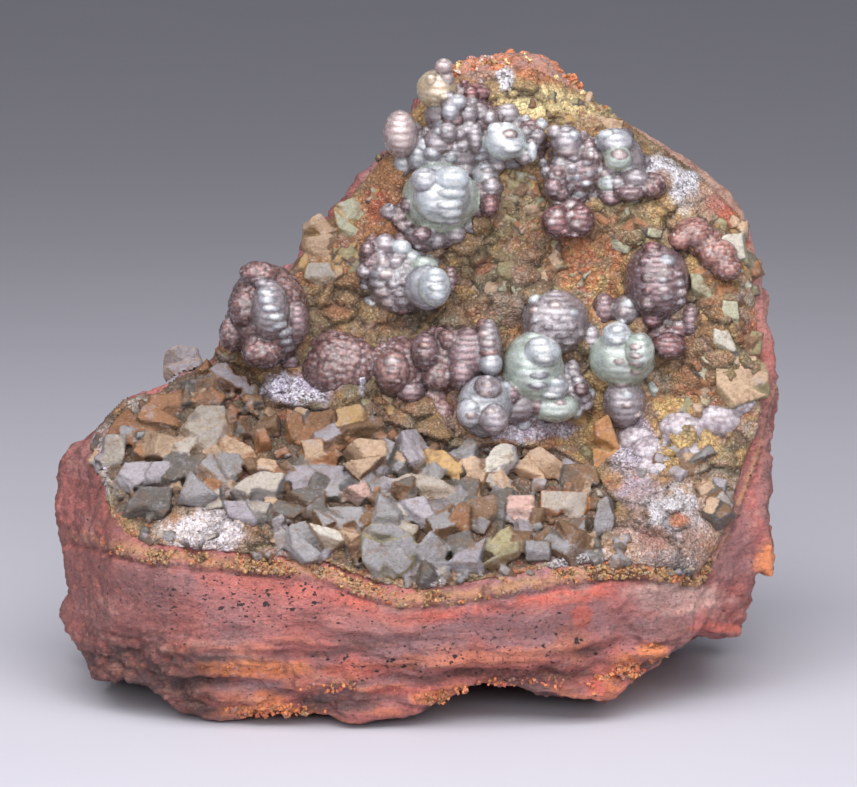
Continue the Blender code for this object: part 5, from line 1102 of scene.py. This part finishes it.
class Crystals:
    """Many closed crystals gathered into one mesh, each face with its own tone."""

    def __init__(self, seed):
        self.rng = random.Random(seed)
        self.points, self.faces, self.colours = [], [], []

    def add(self, points, faces, cuts, colour, side, outward):
        """Add one crystal; faces that turn away from outward take the side colour, partly the
        crystal's own colour and partly painted shade.
        """
        corners, rings, normals = solid_of(points, faces, cuts)
        start = len(self.points)
        self.points += corners
        whole = self.rng.uniform(0.88, 1.08)
        for ring, normal in zip(rings, normals):
            self.faces.append([start + index for index in ring])
            # Partly painted shade: faces turned away from outward blend towards the side colour.
            turned = max(0, min(1, 1.5 - 1.7 * normal.dot(outward)))
            shade = linear(colour) + (linear(side) - linear(colour)) * turned
            self.colours.append(shade * whole * self.rng.uniform(0.88, 1.08))

    def broken(self, face, sink=0.0, turn=(0.0, 0.0)):
        """A large face parted into stepped pieces, each with its sink and extra lean."""
        rng = self.rng
        if area_of(face) < WHOLE_FACE:
            return [(face, sink, turn)]
        angle = rng.uniform(0, math.pi)
        across = (math.cos(angle), math.sin(angle))
        reach = [np.dot(corner, across) for corner in face]
        limit = min(reach) + (max(reach) - min(reach)) * rng.uniform(0.4, 0.6)
        near = clipped(face, across, limit + 0.05)
        far = clipped(face, (-across[0], -across[1]), 0.05 - limit)
        lean = (turn[0] + rng.uniform(-0.15, 0.15), turn[1] + rng.uniform(-0.15, 0.15))
        deeper = sink + rng.uniform(0.1, 0.35)
        return self.broken(near, sink, turn) + self.broken(far, deeper, lean)

    def facets(self, part, centre, outward):
        """Planes that slope a block's lower edge and one side away from its face."""
        rng = self.rng
        planes = []
        for low, share, steep in ((True, (0.25, 0.7), 0.9), (False, (0.4, 0.85), 1.2)):
            if low:
                angle = rng.uniform(-0.7, 0.7) - math.pi / 2
            else:
                angle = rng.choice((0, math.pi)) + rng.uniform(-0.5, 0.9)
            across = (math.cos(angle), math.sin(angle))
            reach = max(np.dot(corner, across) for corner in part) - np.dot(centre, across)
            edge = Vector((across[0], 0, across[1]))
            place = edge * reach * rng.uniform(*share)
            planes.append((place, (outward + edge * steep * rng.uniform(0.7, 1.3)).normalized()))
        return planes

    def named(self, entry, tree):
        """A crystal whose seen face is given, broken into steps where it is large."""
        face, rise, lean, run, colour, side = entry
        middle = np.mean(face, axis=0)
        depth = (hit_depth(tree, *middle) or LONE_DEPTH) - rise - LEAST_RISE
        for part, sink, turn in self.broken(face):
            leans = (lean[0] + turn[0], lean[1] + turn[1])
            centre = np.mean(part, axis=0)
            start = depth + sink + np.dot(lean, centre - middle)
            front, back = [], []
            for u, v in part:
                y = start + np.dot(leans, (u - centre[0], v - centre[1]))
                front.append(seen(u, v, y))
                back.append(seen(u + run[0], v + run[1], y + BLOCK_LENGTH))
            count = len(part)
            faces = [list(range(count)), list(range(2 * count - 1, count - 1, -1))]
            for index in range(count):
                after = (index + 1) % count
                faces.append([after, index, count + index, count + after])
            outward = Vector((-leans[0], -1, leans[1])).normalized()
            place = Vector(seen(*centre, start))
            cuts = [(place + shift, normal) for shift, normal in self.facets(part, centre, outward)]
            self.add(front + back, faces, cuts, colour, side, outward)

    def shard(self, u, v, depth, size, colour, sides=("dark", "brown"), spread=0.75):
        """A smaller crystal: a leaning block, narrower at its top, with a corner gone."""
        rng = self.rng
        wide, tall = size * rng.uniform(0.8, 1.3) / 2, size * rng.uniform(0.6, 1.0) / 2
        thick = size * rng.uniform(0.55, 0.9) / 2
        taper = (rng.uniform(0.4, 0.95), rng.uniform(0.4, 0.95))
        slip = (rng.uniform(-0.4, 0.4) * wide, rng.uniform(-0.4, 0.4) * tall)
        gone = rng.randrange(6)
        points = []
        for index, (x, y) in enumerate(((-1, -1), (1, -1), (1, 1), (-1, 1))):
            points.append(Vector((x * wide, y * tall, -thick)))
            top = Vector((x * wide * taper[0] + slip[0], y * tall * taper[1] + slip[1], thick))
            if index == gone:
                top = Vector((top.x * 0.6, top.y * 0.6, thick * 0.3))
            points.append(top)
        facing = Vector((rng.uniform(-1, 1), -1.1, 0.9 + rng.uniform(-1, 1)))
        facing = (Vector((0, -0.8, 0.6)) * (1 - spread) + facing.normalized() * spread).normalized()
        turn = facing.to_track_quat("Z", "Y").to_matrix() @ Matrix.Rotation(
            rng.uniform(0, 2 * math.pi), 3, "Z")
        centre = Vector(seen(u, v, depth))
        points = [centre + turn @ point for point in points]
        # The darker side colours of shards are partly painted shade.
        self.add(points, None, (), colour, rng.choice(sides + (colour,)), facing)

    def scatter(self, depth_at, patches, colours, lift, sides=("dark", "brown")):
        """Shards strewn over oval patches, sunk into what is under them."""
        rng = self.rng
        for place_u, place_v, half_u, half_v, number, sizes in patches:
            for _ in range(number):
                angle, reach = rng.uniform(0, 2 * math.pi), math.sqrt(rng.random())
                u = place_u + half_u * reach * math.cos(angle)
                v = place_v + half_v * reach * math.sin(angle)
                depth = depth_at(u, v)
                if depth is not None and not covered(u, v):
                    size = rng.uniform(*sizes)
                    self.shard(u, v, depth + lift * size, size, rng.choice(colours), sides)

    def build(self, name):
        """The crystals as they are, each face with its tone."""
        item = new_object(name, self.points, self.faces)
        tint_faces(item, np.array(self.colours))
        return item

    def fuse(self, name, bed, shade):
        """The crystals grown together into one skin with worn edges and rough faces."""
        item = new_object(name, self.points, self.faces)
        remesh(item, CRYSTAL_VOXEL)
        bed.trim(item, CRYSTAL_TRIM)
        points = read_points(item)
        surface = BVHTree.FromPolygons(self.points, self.faces)
        normals = read_normals(item)
        nearest = [like_face(surface, *pair) for pair in zip(points, normals)]
        colours = np.array(self.colours)[nearest] * shade(*seen_at(points))[:, None]
        rough = 0.09 * wobble(points, 1.3, 3, 41) + 0.05 * wobble(points, 0.45, 2, 42)
        write_points(item, points + normals * rough[:, None])
        tint(item, colours)
        return item


def like_face(surface, point, normal):
    """The face of the surface that is near the point and looks the same way."""
    hits = surface.find_nearest_range(Vector(point), COLOUR_REACH)
    hits = hits or [surface.find_nearest(Vector(point))]
    return max(hits, key=lambda hit: abs(hit[1].dot(Vector(normal))) - 2 * hit[3])[2]


def covered(u, v):
    """Whether a named crystal's face is seen at (u, v)."""
    return any(inside(np.float64(u), np.float64(v), entry[0]) for entry in CRYSTALS.values())


def ledge_crystals(tree, bed):
    """The named crystals of the ledge and smaller ones between them."""
    group = Crystals(SEED)
    for name, entry in CRYSTALS.items():
        if not name.startswith("wall"):
            group.named(entry, tree)
    rng = group.rng
    for step, sizes, kept in LEDGE_SHARDS:
        for v in np.arange(14, 38, step):
            for u in np.arange(-33, 21, step):
                place = (u + rng.uniform(-0.5, 0.5) * step, v + rng.uniform(-0.5, 0.5) * step)
                depth = bed.at(*place)
                size = rng.uniform(*sizes)
                if rng.random() > kept or depth is None or covered(*place):
                    continue
                reach = place[0] + 0.5 * size * np.array((-1, 0, 1))
                if not inside(reach, np.full(3, place[1]), LEDGE_OUTLINE).all():
                    continue
                high = place[1] + rng.uniform(-3, 3) > 26
                colour = rng.choice(UPPER_SHARD_COLOURS if high else LEDGE_SHARD_COLOURS)
                group.shard(*place, depth - 0.05 * size, size, colour)
    group.scatter(bed.at, LOW_SHARDS, LEDGE_SHARD_COLOURS, -0.1)
    return group.fuse("ledge_crystals", bed, lambda u, v: np.interp(v, *LEDGE_SHADE))


def wall_crystals(tree, bed):
    """The blocks and chips of the wall."""
    group = Crystals(SEED + 1)
    for name, entry in CRYSTALS.items():
        if name.startswith("wall"):
            group.named(entry, tree)
    group.scatter(bed.at, WALL_SHARDS, WALL_SHARD_COLOURS, 0.05)
    return group.fuse("wall_crystals", bed, lambda u, v: np.interp(u, *WALL_SHADE))


def rock_crumbs(tree):
    """Crumbs along the lip, on the top edge and in the orange patches of the rock."""
    group = Crystals(SEED + 2)
    rng = group.rng
    lip = np.array(LIP)
    for u in np.arange(*LIP_CRUMBS):
        v = np.interp(u, lip[:, 0], lip[:, 1]) + rng.uniform(-0.5, 1.0)
        depth = hit_depth(tree, u, v)
        if depth is not None:
            size = rng.uniform(*LIP_CRUMB_SIZES)
            colour = rng.choice(CRUMB_COLOURS)
            group.shard(u, v, depth + 0.2 * size, size, colour, (colour,))
    for patches, colours in ((ORANGE_CRUMBS, ORANGE_COLOURS), (TOP_CRUMBS, TOP_COLOURS)):
        group.scatter(lambda u, v: hit_depth(tree, u, v), patches, colours, 0.16,
                      ("rock_orange",))
    return group.build("rock_crumbs")


def ellipsoid_hit(start, along, centre, radii):
    """Where along +Y a ray first meets an ellipsoid, or None."""
    offset, step = (start - centre) / radii, along / radii
    square, half = step @ step, offset @ step
    rest = half * half - square * (offset @ offset - 1)
    return None if rest < 0 else start[1] + along[1] * (-half - math.sqrt(rest)) / square


def bubbles(rows, seed):
    """Small round swellings over the wide low bodies of a group."""
    rng = random.Random(seed)
    strewn = []
    for u, v, half_width, half_height, _, kind in rows:
        number = int(2.4 * half_width * half_height) if kind in BUBBLES else 0
        for _ in range(number):
            angle, reach = rng.uniform(0, 2 * math.pi), math.sqrt(rng.random())
            size = rng.uniform(0.45, 1.1)
            strewn.append((u + half_width * reach * math.cos(angle),
                           v + half_height * reach * math.sin(angle), size,
                           size * rng.uniform(0.75, 1.1), rng.uniform(0.62, 0.82),
                           rng.choice(BUBBLES[kind])))
    return strewn


def place_knobs(tree, bed, rows, seed):
    """Middles, radii and kinds of a group's knobs, each set on what is behind it."""
    start = EYE + SHIFT
    wide = [row for row in rows if row[4] >= LOW_BODY and row[2] > WIDE_BODY]
    others = [row for row in rows if row not in wide]
    placed = []
    for u, v, half_width, half_height, sunk, kind in wide + bubbles(wide, seed) + others:
        radii = np.array((half_width, (half_width + half_height) / 2, half_height))
        depths = [bed.at(u, v) or hit_depth(tree, u, v)]
        spots = [(u, v)]
        if bed.at(u, v) is None:
            spots += [(u + 0.8 * half_width, v), (u - 0.8 * half_width, v), (u, v - half_height)]
        for centre, sizes, _ in placed:
            places = [ellipsoid_hit(start, seen(*spot, 0) - start, centre, sizes) for spot in spots]
            depths += [place - SHIFT[1] for place in places if place is not None]
        depth = min([value for value in depths if value is not None], default=LONE_DEPTH)
        if sunk >= LOW_BODY and half_width > WIDE_BODY:
            sunk -= 0.06 if kind in ("pebble", "frost") else 0.16
        elif half_height <= 0.75:
            sunk = max(0.84, sunk + 0.18)
        elif half_width < 1.5:
            sunk = max(sunk, 0.66)
        placed.append((seen(u, v, depth + radii[1] * (2 * sunk - 1)), radii, kind))
    return placed


def knob_mesh(name, knobs, voxel):
    """One skin round all the knobs, with its creases softened."""
    work = bmesh.new()
    for centre, radii, _ in knobs:
        place = Matrix.LocRotScale(Vector(centre) * MM, None, Vector(radii) * MM)
        parts = 4 if max(radii) > 1.3 else 3
        bmesh.ops.create_icosphere(work, subdivisions=parts, radius=1, matrix=place)
    item = new_object(name, [], [])
    work.to_mesh(item.data)
    work.free()
    remesh(item, voxel)
    relax(item, 5)
    return item


def nearest_knobs(points, knobs):
    """For each point its knob, its place on that knob, and how near the next one is."""
    reach = np.stack([np.linalg.norm((points - centre) / radii, axis=1)
                      for centre, radii, _ in knobs])
    owner = reach.argmin(axis=0)
    centres = np.array([centre for centre, _, _ in knobs])[owner]
    radii = np.array([sizes for _, sizes, _ in knobs])[owner]
    if len(knobs) > 1:
        second = np.partition(reach, 1, axis=0)[1] - reach.min(axis=0)
    else:
        second = np.ones(len(points))
    return owner, (points - centres) / radii, second * radii.mean(axis=1)


def ripples(spot, radii, owner, tall):
    """Wide stacked swellings down the middle of each knob, 0 to 1."""
    length = np.linalg.norm(spot, axis=1)
    across = np.arctan2(spot[:, 0], -spot[:, 1] + 0.001) * radii[:, 0]
    up = np.arcsin(np.clip(spot[:, 2] / length, -1, 1)) * radii[:, 2]
    bend = 0.16 * wobble(spot * radii, 1.0, 2, 12)
    phase = (owner * 0.37) % 1 + bend - 0.25 * (across / radii[:, 0]) ** 2
    row = 1 - (2 * ((up / tall + phase) % 1) - 1) ** 2
    return row ** 1.5 * np.exp(-(across / (0.55 * radii[:, 0])) ** 2)


def bead_relief(points, spot, radii, owner, knobs):
    """How far beads stand out in millimetres, their height 0 to 1 and random values."""
    height = np.zeros(len(points))
    random_values = np.zeros((len(points), 3))
    relief = np.zeros(len(points))
    for kind in sorted({knob[2] for knob in knobs}):
        chosen = np.isin(owner, [place for place, knob in enumerate(knobs) if knob[2] == kind])
        width, tall, rise = KINDS[kind][3:]
        distance, _, middles = cells(points[chosen], (width, width, tall))
        random_values[chosen] = cell_values(middles)
        if width < 1:
            height[chosen] = np.clip(1 - (distance / 0.72) ** 2, 0, 1)
        else:
            height[chosen] = ripples(spot[chosen], radii[chosen], owner[chosen], tall)
        relief[chosen] = rise
    return height * relief, height, random_values


def tilasite_group(tree, bed, name):
    """A group of rounded tilasite: joined bubbles and lobes, pale on their tips in part as painted
    highlight, with painted shade in the creases.
    """
    knobs = place_knobs(tree, bed, KNOBS[name], len(name))
    item = knob_mesh(name + "_knobs", knobs, KNOB_VOXEL)
    bed.trim(item, KNOB_TRIM)
    points = read_points(item)
    owner, spot, gap = nearest_knobs(points, knobs)
    radii = np.array([sizes for _, sizes, _ in knobs])[owner]
    raised, height, values = bead_relief(points, spot, radii, owner, knobs)
    shape = wobble(points, 1.8, 2, 11)
    points += read_normals(item) * (raised + 0.05 * shape)[:, None]
    write_points(item, points)
    tip, flank, skirt = (np.array([linear(KINDS[knob[2]][part]) for knob in knobs])[owner]
                         for part in range(3))
    # Partly painted light: the side facing front and up, towards the lamps, takes the pale tip
    # colour, in stacked rows of painted highlights over the ripples, and the side turned away takes
    # the skirt colour.
    out = spot @ np.array((0.1, -0.82, 0.56)) + 0.08 * shape
    colours = skirt + (flank - skirt) * np.clip((out + 0.05) / 0.5, 0, 1)[:, None]
    white = np.clip((out - 0.3) / 0.5, 0, 1) * (0.2 + 0.8 * height) + 0.12 * (values[:, 0] - 0.5)
    colours += (tip - colours) * np.clip(white, 0, 1)[:, None]
    # Painted shade: darker in the creases where two knobs meet.
    colours *= np.clip(0.55 + gap / 0.3, 0, 1)[:, None]
    tint(item, colours, values[:, 1])
    return item


class Nodes:
    """A short way to lay out a material's nodes."""

    def __init__(self, name):
        self.material = bpy.data.materials.new(name)
        self.material.use_nodes = True
        self.tree = self.material.node_tree
        self.shader = self.tree.nodes["Principled BSDF"]
        self.place = self.add("TexCoord").outputs["Object"]
        stored = self.add("Attribute", attribute_name="tint")
        self.tint, self.extra = stored.outputs["Color"], stored.outputs["Alpha"]

    def add(self, kind, inputs=None, **settings):
        """A node with its settings; inputs are sockets or plain values."""
        node = self.tree.nodes.new("ShaderNode" + kind)
        for key, value in settings.items():
            setattr(node, key, value)
        for key, value in (inputs or {}).items():
            if isinstance(value, bpy.types.NodeSocket):
                self.tree.links.new(value, node.inputs[key])
            else:
                node.inputs[key].default_value = value
        return node

    def stretched(self, sizes):
        """Object coordinates divided by these sizes in millimetres."""
        scale = [1 / (size * MM) for size in sizes]
        return self.add("Mapping", {"Vector": self.place, "Scale": scale}).outputs["Vector"]

    def noise(self, sizes, detail=3.0, rough=0.55, distortion=0.0):
        """Noise from 0 to 1 with wavelengths in millimetres."""
        return self.add("TexNoise", {"Vector": self.stretched(sizes), "Scale": 1, "Detail": detail,
                                     "Roughness": rough, "Distortion": distortion}).outputs["Fac"]

    def cells(self, sizes, feature="F1", output="Distance"):
        """A cell pattern with sizes in millimetres."""
        return self.add("TexVoronoi", {"Vector": self.stretched(sizes), "Scale": 1},
                        feature=feature).outputs[output]

    def sum(self, operation, first, second=0.5):
        """Arithmetic on two values."""
        return self.add("Math", {0: first, 1: second}, operation=operation).outputs[0]

    def ramp(self, value, low, high, start=0.0, end=1.0):
        """A value from start to end while the input goes from low to high."""
        return self.add("MapRange", {"Value": value, "From Min": low, "From Max": high,
                                     "To Min": start, "To Max": end}).outputs["Result"]

    def mix(self, share, first, second):
        """A mix of two colours, given as sockets or names."""
        first, second = [value if isinstance(value, bpy.types.NodeSocket)
                         else (*linear(value), 1) for value in (first, second)]
        return self.add("Mix", {0: share, 6: first, 7: second}, data_type="RGBA").outputs[2]

    def bump(self, height, depth, normal=None):
        """A bump whose depth is in millimetres."""
        inputs = {"Height": height, "Distance": depth * MM, "Strength": 1.0}
        if normal:
            inputs["Normal"] = normal
        return self.add("Bump", inputs).outputs["Normal"]

    def finish(self, **inputs):
        """Set the shader's sockets and give the material."""
        for key, value in inputs.items():
            socket = self.shader.inputs[key.replace("_", " ")]
            if isinstance(value, bpy.types.NodeSocket):
                self.tree.links.new(value, socket)
            else:
                socket.default_value = value
        return self.material


def rock_material():
    """Dull ironstone with streaks, fine grain and pin pits of many sizes, with painted shade in the
    pits.
    """
    nodes = Nodes("ironstone_face")
    grain = nodes.noise((0.4, 0.4, 0.3), 6, 0.72)
    patch = nodes.noise((1.3, 1.3, 0.8), 6, 0.74)
    streak = nodes.noise((4.5, 4.5, 0.9), 6, 0.72)
    colour = nodes.mix(nodes.ramp(patch, 0.52, 0.64, 0, 0.4), nodes.tint, (218, 128, 112))
    colour = nodes.mix(nodes.ramp(patch, 0.46, 0.36, 0, 0.4), colour, "mauve")
    colour = nodes.mix(nodes.ramp(streak, 0.52, 0.62, 0, 0.5), colour, "dark_maroon")
    colour = nodes.mix(nodes.ramp(streak, 0.44, 0.35, 0, 0.35), colour, (210, 160, 144))
    colour = nodes.mix(nodes.ramp(grain, 0.52, 0.64, 0, 0.55), colour, "iron_black")
    colour = nodes.mix(nodes.ramp(grain, 0.42, 0.3, 0, 0.5), colour, (236, 190, 178))
    wide = nodes.ramp(nodes.noise((0.8, 0.8, 0.6), 3, 0.7), 0.38, 0.66, -0.06, 0.42)
    wide = nodes.sum("MULTIPLY", wide, nodes.extra)
    pit = nodes.ramp(nodes.cells((0.5, 0.5, 0.4)), wide, nodes.sum("ADD", wide, 0.07), 1, 0)
    hole = nodes.ramp(nodes.cells((1.2, 1.2, 0.8)), wide, nodes.sum("ADD", wide, 0.06), 1, 0)
    pit = nodes.sum("MAXIMUM", pit, hole)
    # Painted shade: the pits are painted near-black.
    colour = nodes.mix(nodes.sum("MULTIPLY", pit, 0.95), colour, (36, 24, 26))
    normal = nodes.bump(nodes.noise((1.3, 1.3, 0.8), 8, 0.76), 0.9)
    normal = nodes.bump(grain, 0.14, normal)
    normal = nodes.bump(nodes.sum("SUBTRACT", 1, pit), 0.25, normal)
    rough = nodes.ramp(nodes.noise((0.6, 0.6, 0.5), 5, 0.7), 0.38, 0.6, 0.26, 0.7)
    return nodes.finish(Base_Color=colour, Roughness=rough, Normal=normal,
                        Specular_IOR_Level=0.7)


def crust_material():
    """Fine granular crust, with white frost, and white specks as painted sparkle, where the tint
    asks for it.
    """
    nodes = Nodes("granular_crust")
    grain = nodes.noise((0.32, 0.32, 0.32), 5, 0.7)
    edge = nodes.cells((0.42, 0.42, 0.42), "DISTANCE_TO_EDGE")
    cloud = nodes.noise((1.1, 1.1, 1.1), 4, 0.65)
    colour = nodes.mix(nodes.ramp(cloud, 0.5, 0.7, 0, 0.35), nodes.tint, "rust")
    colour = nodes.mix(nodes.ramp(grain, 0.45, 0.3, 0, 0.5), colour, "pale")
    colour = nodes.mix(nodes.ramp(grain, 0.48, 0.64, 0, 0.7), colour, "umber_and_shade")
    colour = nodes.mix(nodes.ramp(edge, 0.1, 0.02, 0, 0.35), colour, "umber_and_shade")
    for size, width in ((1.3, 0.035), (0.6, 0.05)):
        web = nodes.noise((size, size, size), 3, 0.6, 0.6)
        web = nodes.sum("ABSOLUTE", nodes.sum("SUBTRACT", web, 0.5))
        web = nodes.ramp(web, 0.006, width, 0.9, 0)
        web = nodes.sum("MULTIPLY", web, nodes.ramp(nodes.extra, 0.15, 0.9))
        colour = nodes.mix(web, colour, (218, 212, 226))
    speck = nodes.cells((0.24, 0.24, 0.24), output="Color")
    white = nodes.sum("MULTIPLY", nodes.ramp(speck, 0.68, 0.78), nodes.extra)
    black = nodes.sum("MULTIPLY", nodes.ramp(speck, 0.34, 0.26), nodes.extra)
    # Painted sparkle: white specks where the tint's last value is high.
    colour = nodes.mix(nodes.sum("MULTIPLY", white, 0.6), colour, (240, 240, 246))
    colour = nodes.mix(nodes.sum("MULTIPLY", black, 0.6), colour, (68, 58, 58))
    normal = nodes.bump(nodes.ramp(edge, 0, 0.3), 0.1)
    normal = nodes.bump(grain, 0.16, normal)
    rough = nodes.ramp(nodes.extra, 0, 1, 0.55, 0.28)
    return nodes.finish(Base_Color=colour, Roughness=rough, Normal=normal)


def crystal_material():
    """Satin crystal faces, mottled, stained and finely pitted."""
    nodes = Nodes("satin_crystals")
    cloud = nodes.noise((1.6, 1.3, 1.3), 6, 0.7)
    fine = nodes.noise((0.35, 0.35, 0.3), 5, 0.72)
    colour = nodes.mix(nodes.ramp(cloud, 0.52, 0.66, 0, 0.7), nodes.tint, "brown")
    colour = nodes.mix(nodes.ramp(cloud, 0.46, 0.34, 0, 0.45), colour, "lilac")
    colour = nodes.mix(nodes.ramp(fine, 0.5, 0.7, 0, 0.4), colour, "umber_and_shade")
    colour = nodes.mix(nodes.ramp(fine, 0.42, 0.3, 0, 0.35), colour, "pale")
    normal = nodes.bump(nodes.noise((0.9, 0.9, 0.7), 6, 0.7), 0.35)
    normal = nodes.bump(fine, 0.08, normal)
    rough = nodes.ramp(nodes.noise((0.5, 0.5, 0.5), 3), 0.35, 0.65, 0.26, 0.5)
    return nodes.finish(Base_Color=colour, Roughness=rough, Normal=normal)


def tilasite_material():
    """Glassy, see-through tilasite with milky parts."""
    nodes = Nodes("tilasite_glassy")
    cloud = nodes.noise((0.5, 0.5, 0.3), 5, 0.65)
    colour = nodes.mix(nodes.ramp(cloud, 0.52, 0.75, 0, 0.35), nodes.tint, "pink_tan")
    colour = nodes.mix(nodes.ramp(cloud, 0.32, 0.48, 0.6, 0), colour, (216, 212, 220))
    clear = nodes.ramp(nodes.noise((1.6, 1.6, 1.2), 2), 0.35, 0.65, 0.25, 0.55)
    normal = nodes.bump(nodes.noise((0.5, 0.5, 0.24), 4, 0.6), 0.09)
    rough = nodes.ramp(nodes.noise((0.4, 0.4, 0.4), 2), 0.3, 0.7, 0.16, 0.36)
    return nodes.finish(Base_Color=colour, Roughness=rough, Normal=normal,
                        Subsurface_Weight=1.0, Subsurface_Radius=(1.0, 0.97, 1.0),
                        Subsurface_Scale=1.4 * MM, IOR=1.48, Coat_Weight=0.55, Coat_IOR=1.5,
                        Coat_Roughness=0.07, Transmission_Weight=clear)


def make_floor():
    """A plain pale floor, wide enough to fill the view, with painted shade that makes it a little
    darker some way off.
    """
    corners = [(x * FLOOR_REACH, y * FLOOR_REACH, 0)
               for x, y in ((-1, -1), (1, -1), (1, 1), (-1, 1))]
    floor = new_object("floor", corners, [(0, 1, 2, 3)])
    nodes = Nodes("pale_floor")
    shade = nodes.ramp(nodes.noise((30, 30, 30), 2), 0.3, 0.7, 0, 0.2)
    colour = nodes.mix(shade, (186, 184, 194), (178, 176, 186))
    reach = nodes.add("VectorMath", {0: nodes.place}, operation="LENGTH").outputs["Value"]
    # Painted shade: a ring of the floor some way off is darker.
    painted_falloff = nodes.sum("MULTIPLY", nodes.ramp(reach, 0.07, 0.26), nodes.ramp(reach, 0.62, 0.34))
    colour = nodes.mix(nodes.sum("MULTIPLY", painted_falloff, 0.42), colour, (140, 139, 148))
    floor.data.materials.append(nodes.finish(Base_Color=colour, Roughness=0.85))


def soft_box(name, azimuth, elevation, distance, width, height, radiance):
    """An area light that faces the specimen."""
    light = bpy.data.lights.new(name, "AREA")
    light.shape = "RECTANGLE"
    light.size, light.size_y = width, height
    light.energy = radiance * math.pi * width * height
    item = bpy.data.objects.new(name, light)
    bpy.context.scene.collection.objects.link(item)
    turn, tilt = math.radians(azimuth), math.radians(elevation)
    away = Vector((math.sin(turn) * math.cos(tilt), -math.cos(turn) * math.cos(tilt),
                   math.sin(tilt)))
    item.location = LIGHT_AIM + away * distance
    item.rotation_euler = away.to_track_quat("Z", "Y").to_euler()


def light_studio():
    """Wide soft boxes above and in front, and a soft fill all round."""
    for box in SOFT_BOXES:
        soft_box(*box)
    world = bpy.data.worlds.new("studio")
    world.use_nodes = True
    background = world.node_tree.nodes["Background"]
    background.inputs["Color"].default_value = FILL_COLOUR
    background.inputs["Strength"].default_value = FILL_STRENGTH
    bpy.context.scene.world = world


def aim_camera():
    """The camera at the photograph's angle, framed as it is."""
    camera = bpy.data.cameras.new("camera")
    camera.sensor_width = SENSOR_WIDTH
    camera.lens = SENSOR_WIDTH * VIEW_DISTANCE / PICTURE_WIDTH
    camera.shift_x = (IMAGE_WIDTH / 2 - MIDDLE_PX[0]) / IMAGE_WIDTH
    camera.shift_y = (MIDDLE_PX[1] - IMAGE_HEIGHT / 2) / IMAGE_WIDTH
    camera.clip_start = 0.01
    item = bpy.data.objects.new("camera", camera)
    item.location = (EYE + SHIFT) * MM
    item.rotation_euler = (math.pi / 2 - VIEW_TILT, 0, 0)
    bpy.context.scene.collection.objects.link(item)
    bpy.context.scene.camera = item
    bpy.context.scene.view_settings.view_transform = "Standard"


def dress():
    """Build every visible piece in place of its solid."""
    tree = rock_tree()
    rock = add_piece(build_rock(), rock_material())
    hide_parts("ironstone_matrix")
    bed = Bed(tree)
    granular = crust_material()
    crust = add_piece(bed.build(), granular)
    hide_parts("crystal_crust")
    add_piece(rock_crumbs(tree), granular, smooth=False)
    satin = crystal_material()
    add_piece(ledge_crystals(tree, bed), satin)
    add_piece(wall_crystals(tree, bed), satin)
    glassy = tilasite_material()
    for name in KNOBS:
        group = add_piece(tilasite_group(tree, bed, name), glassy)
        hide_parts(name)


make_floor()
light_studio()
aim_camera()
dress()
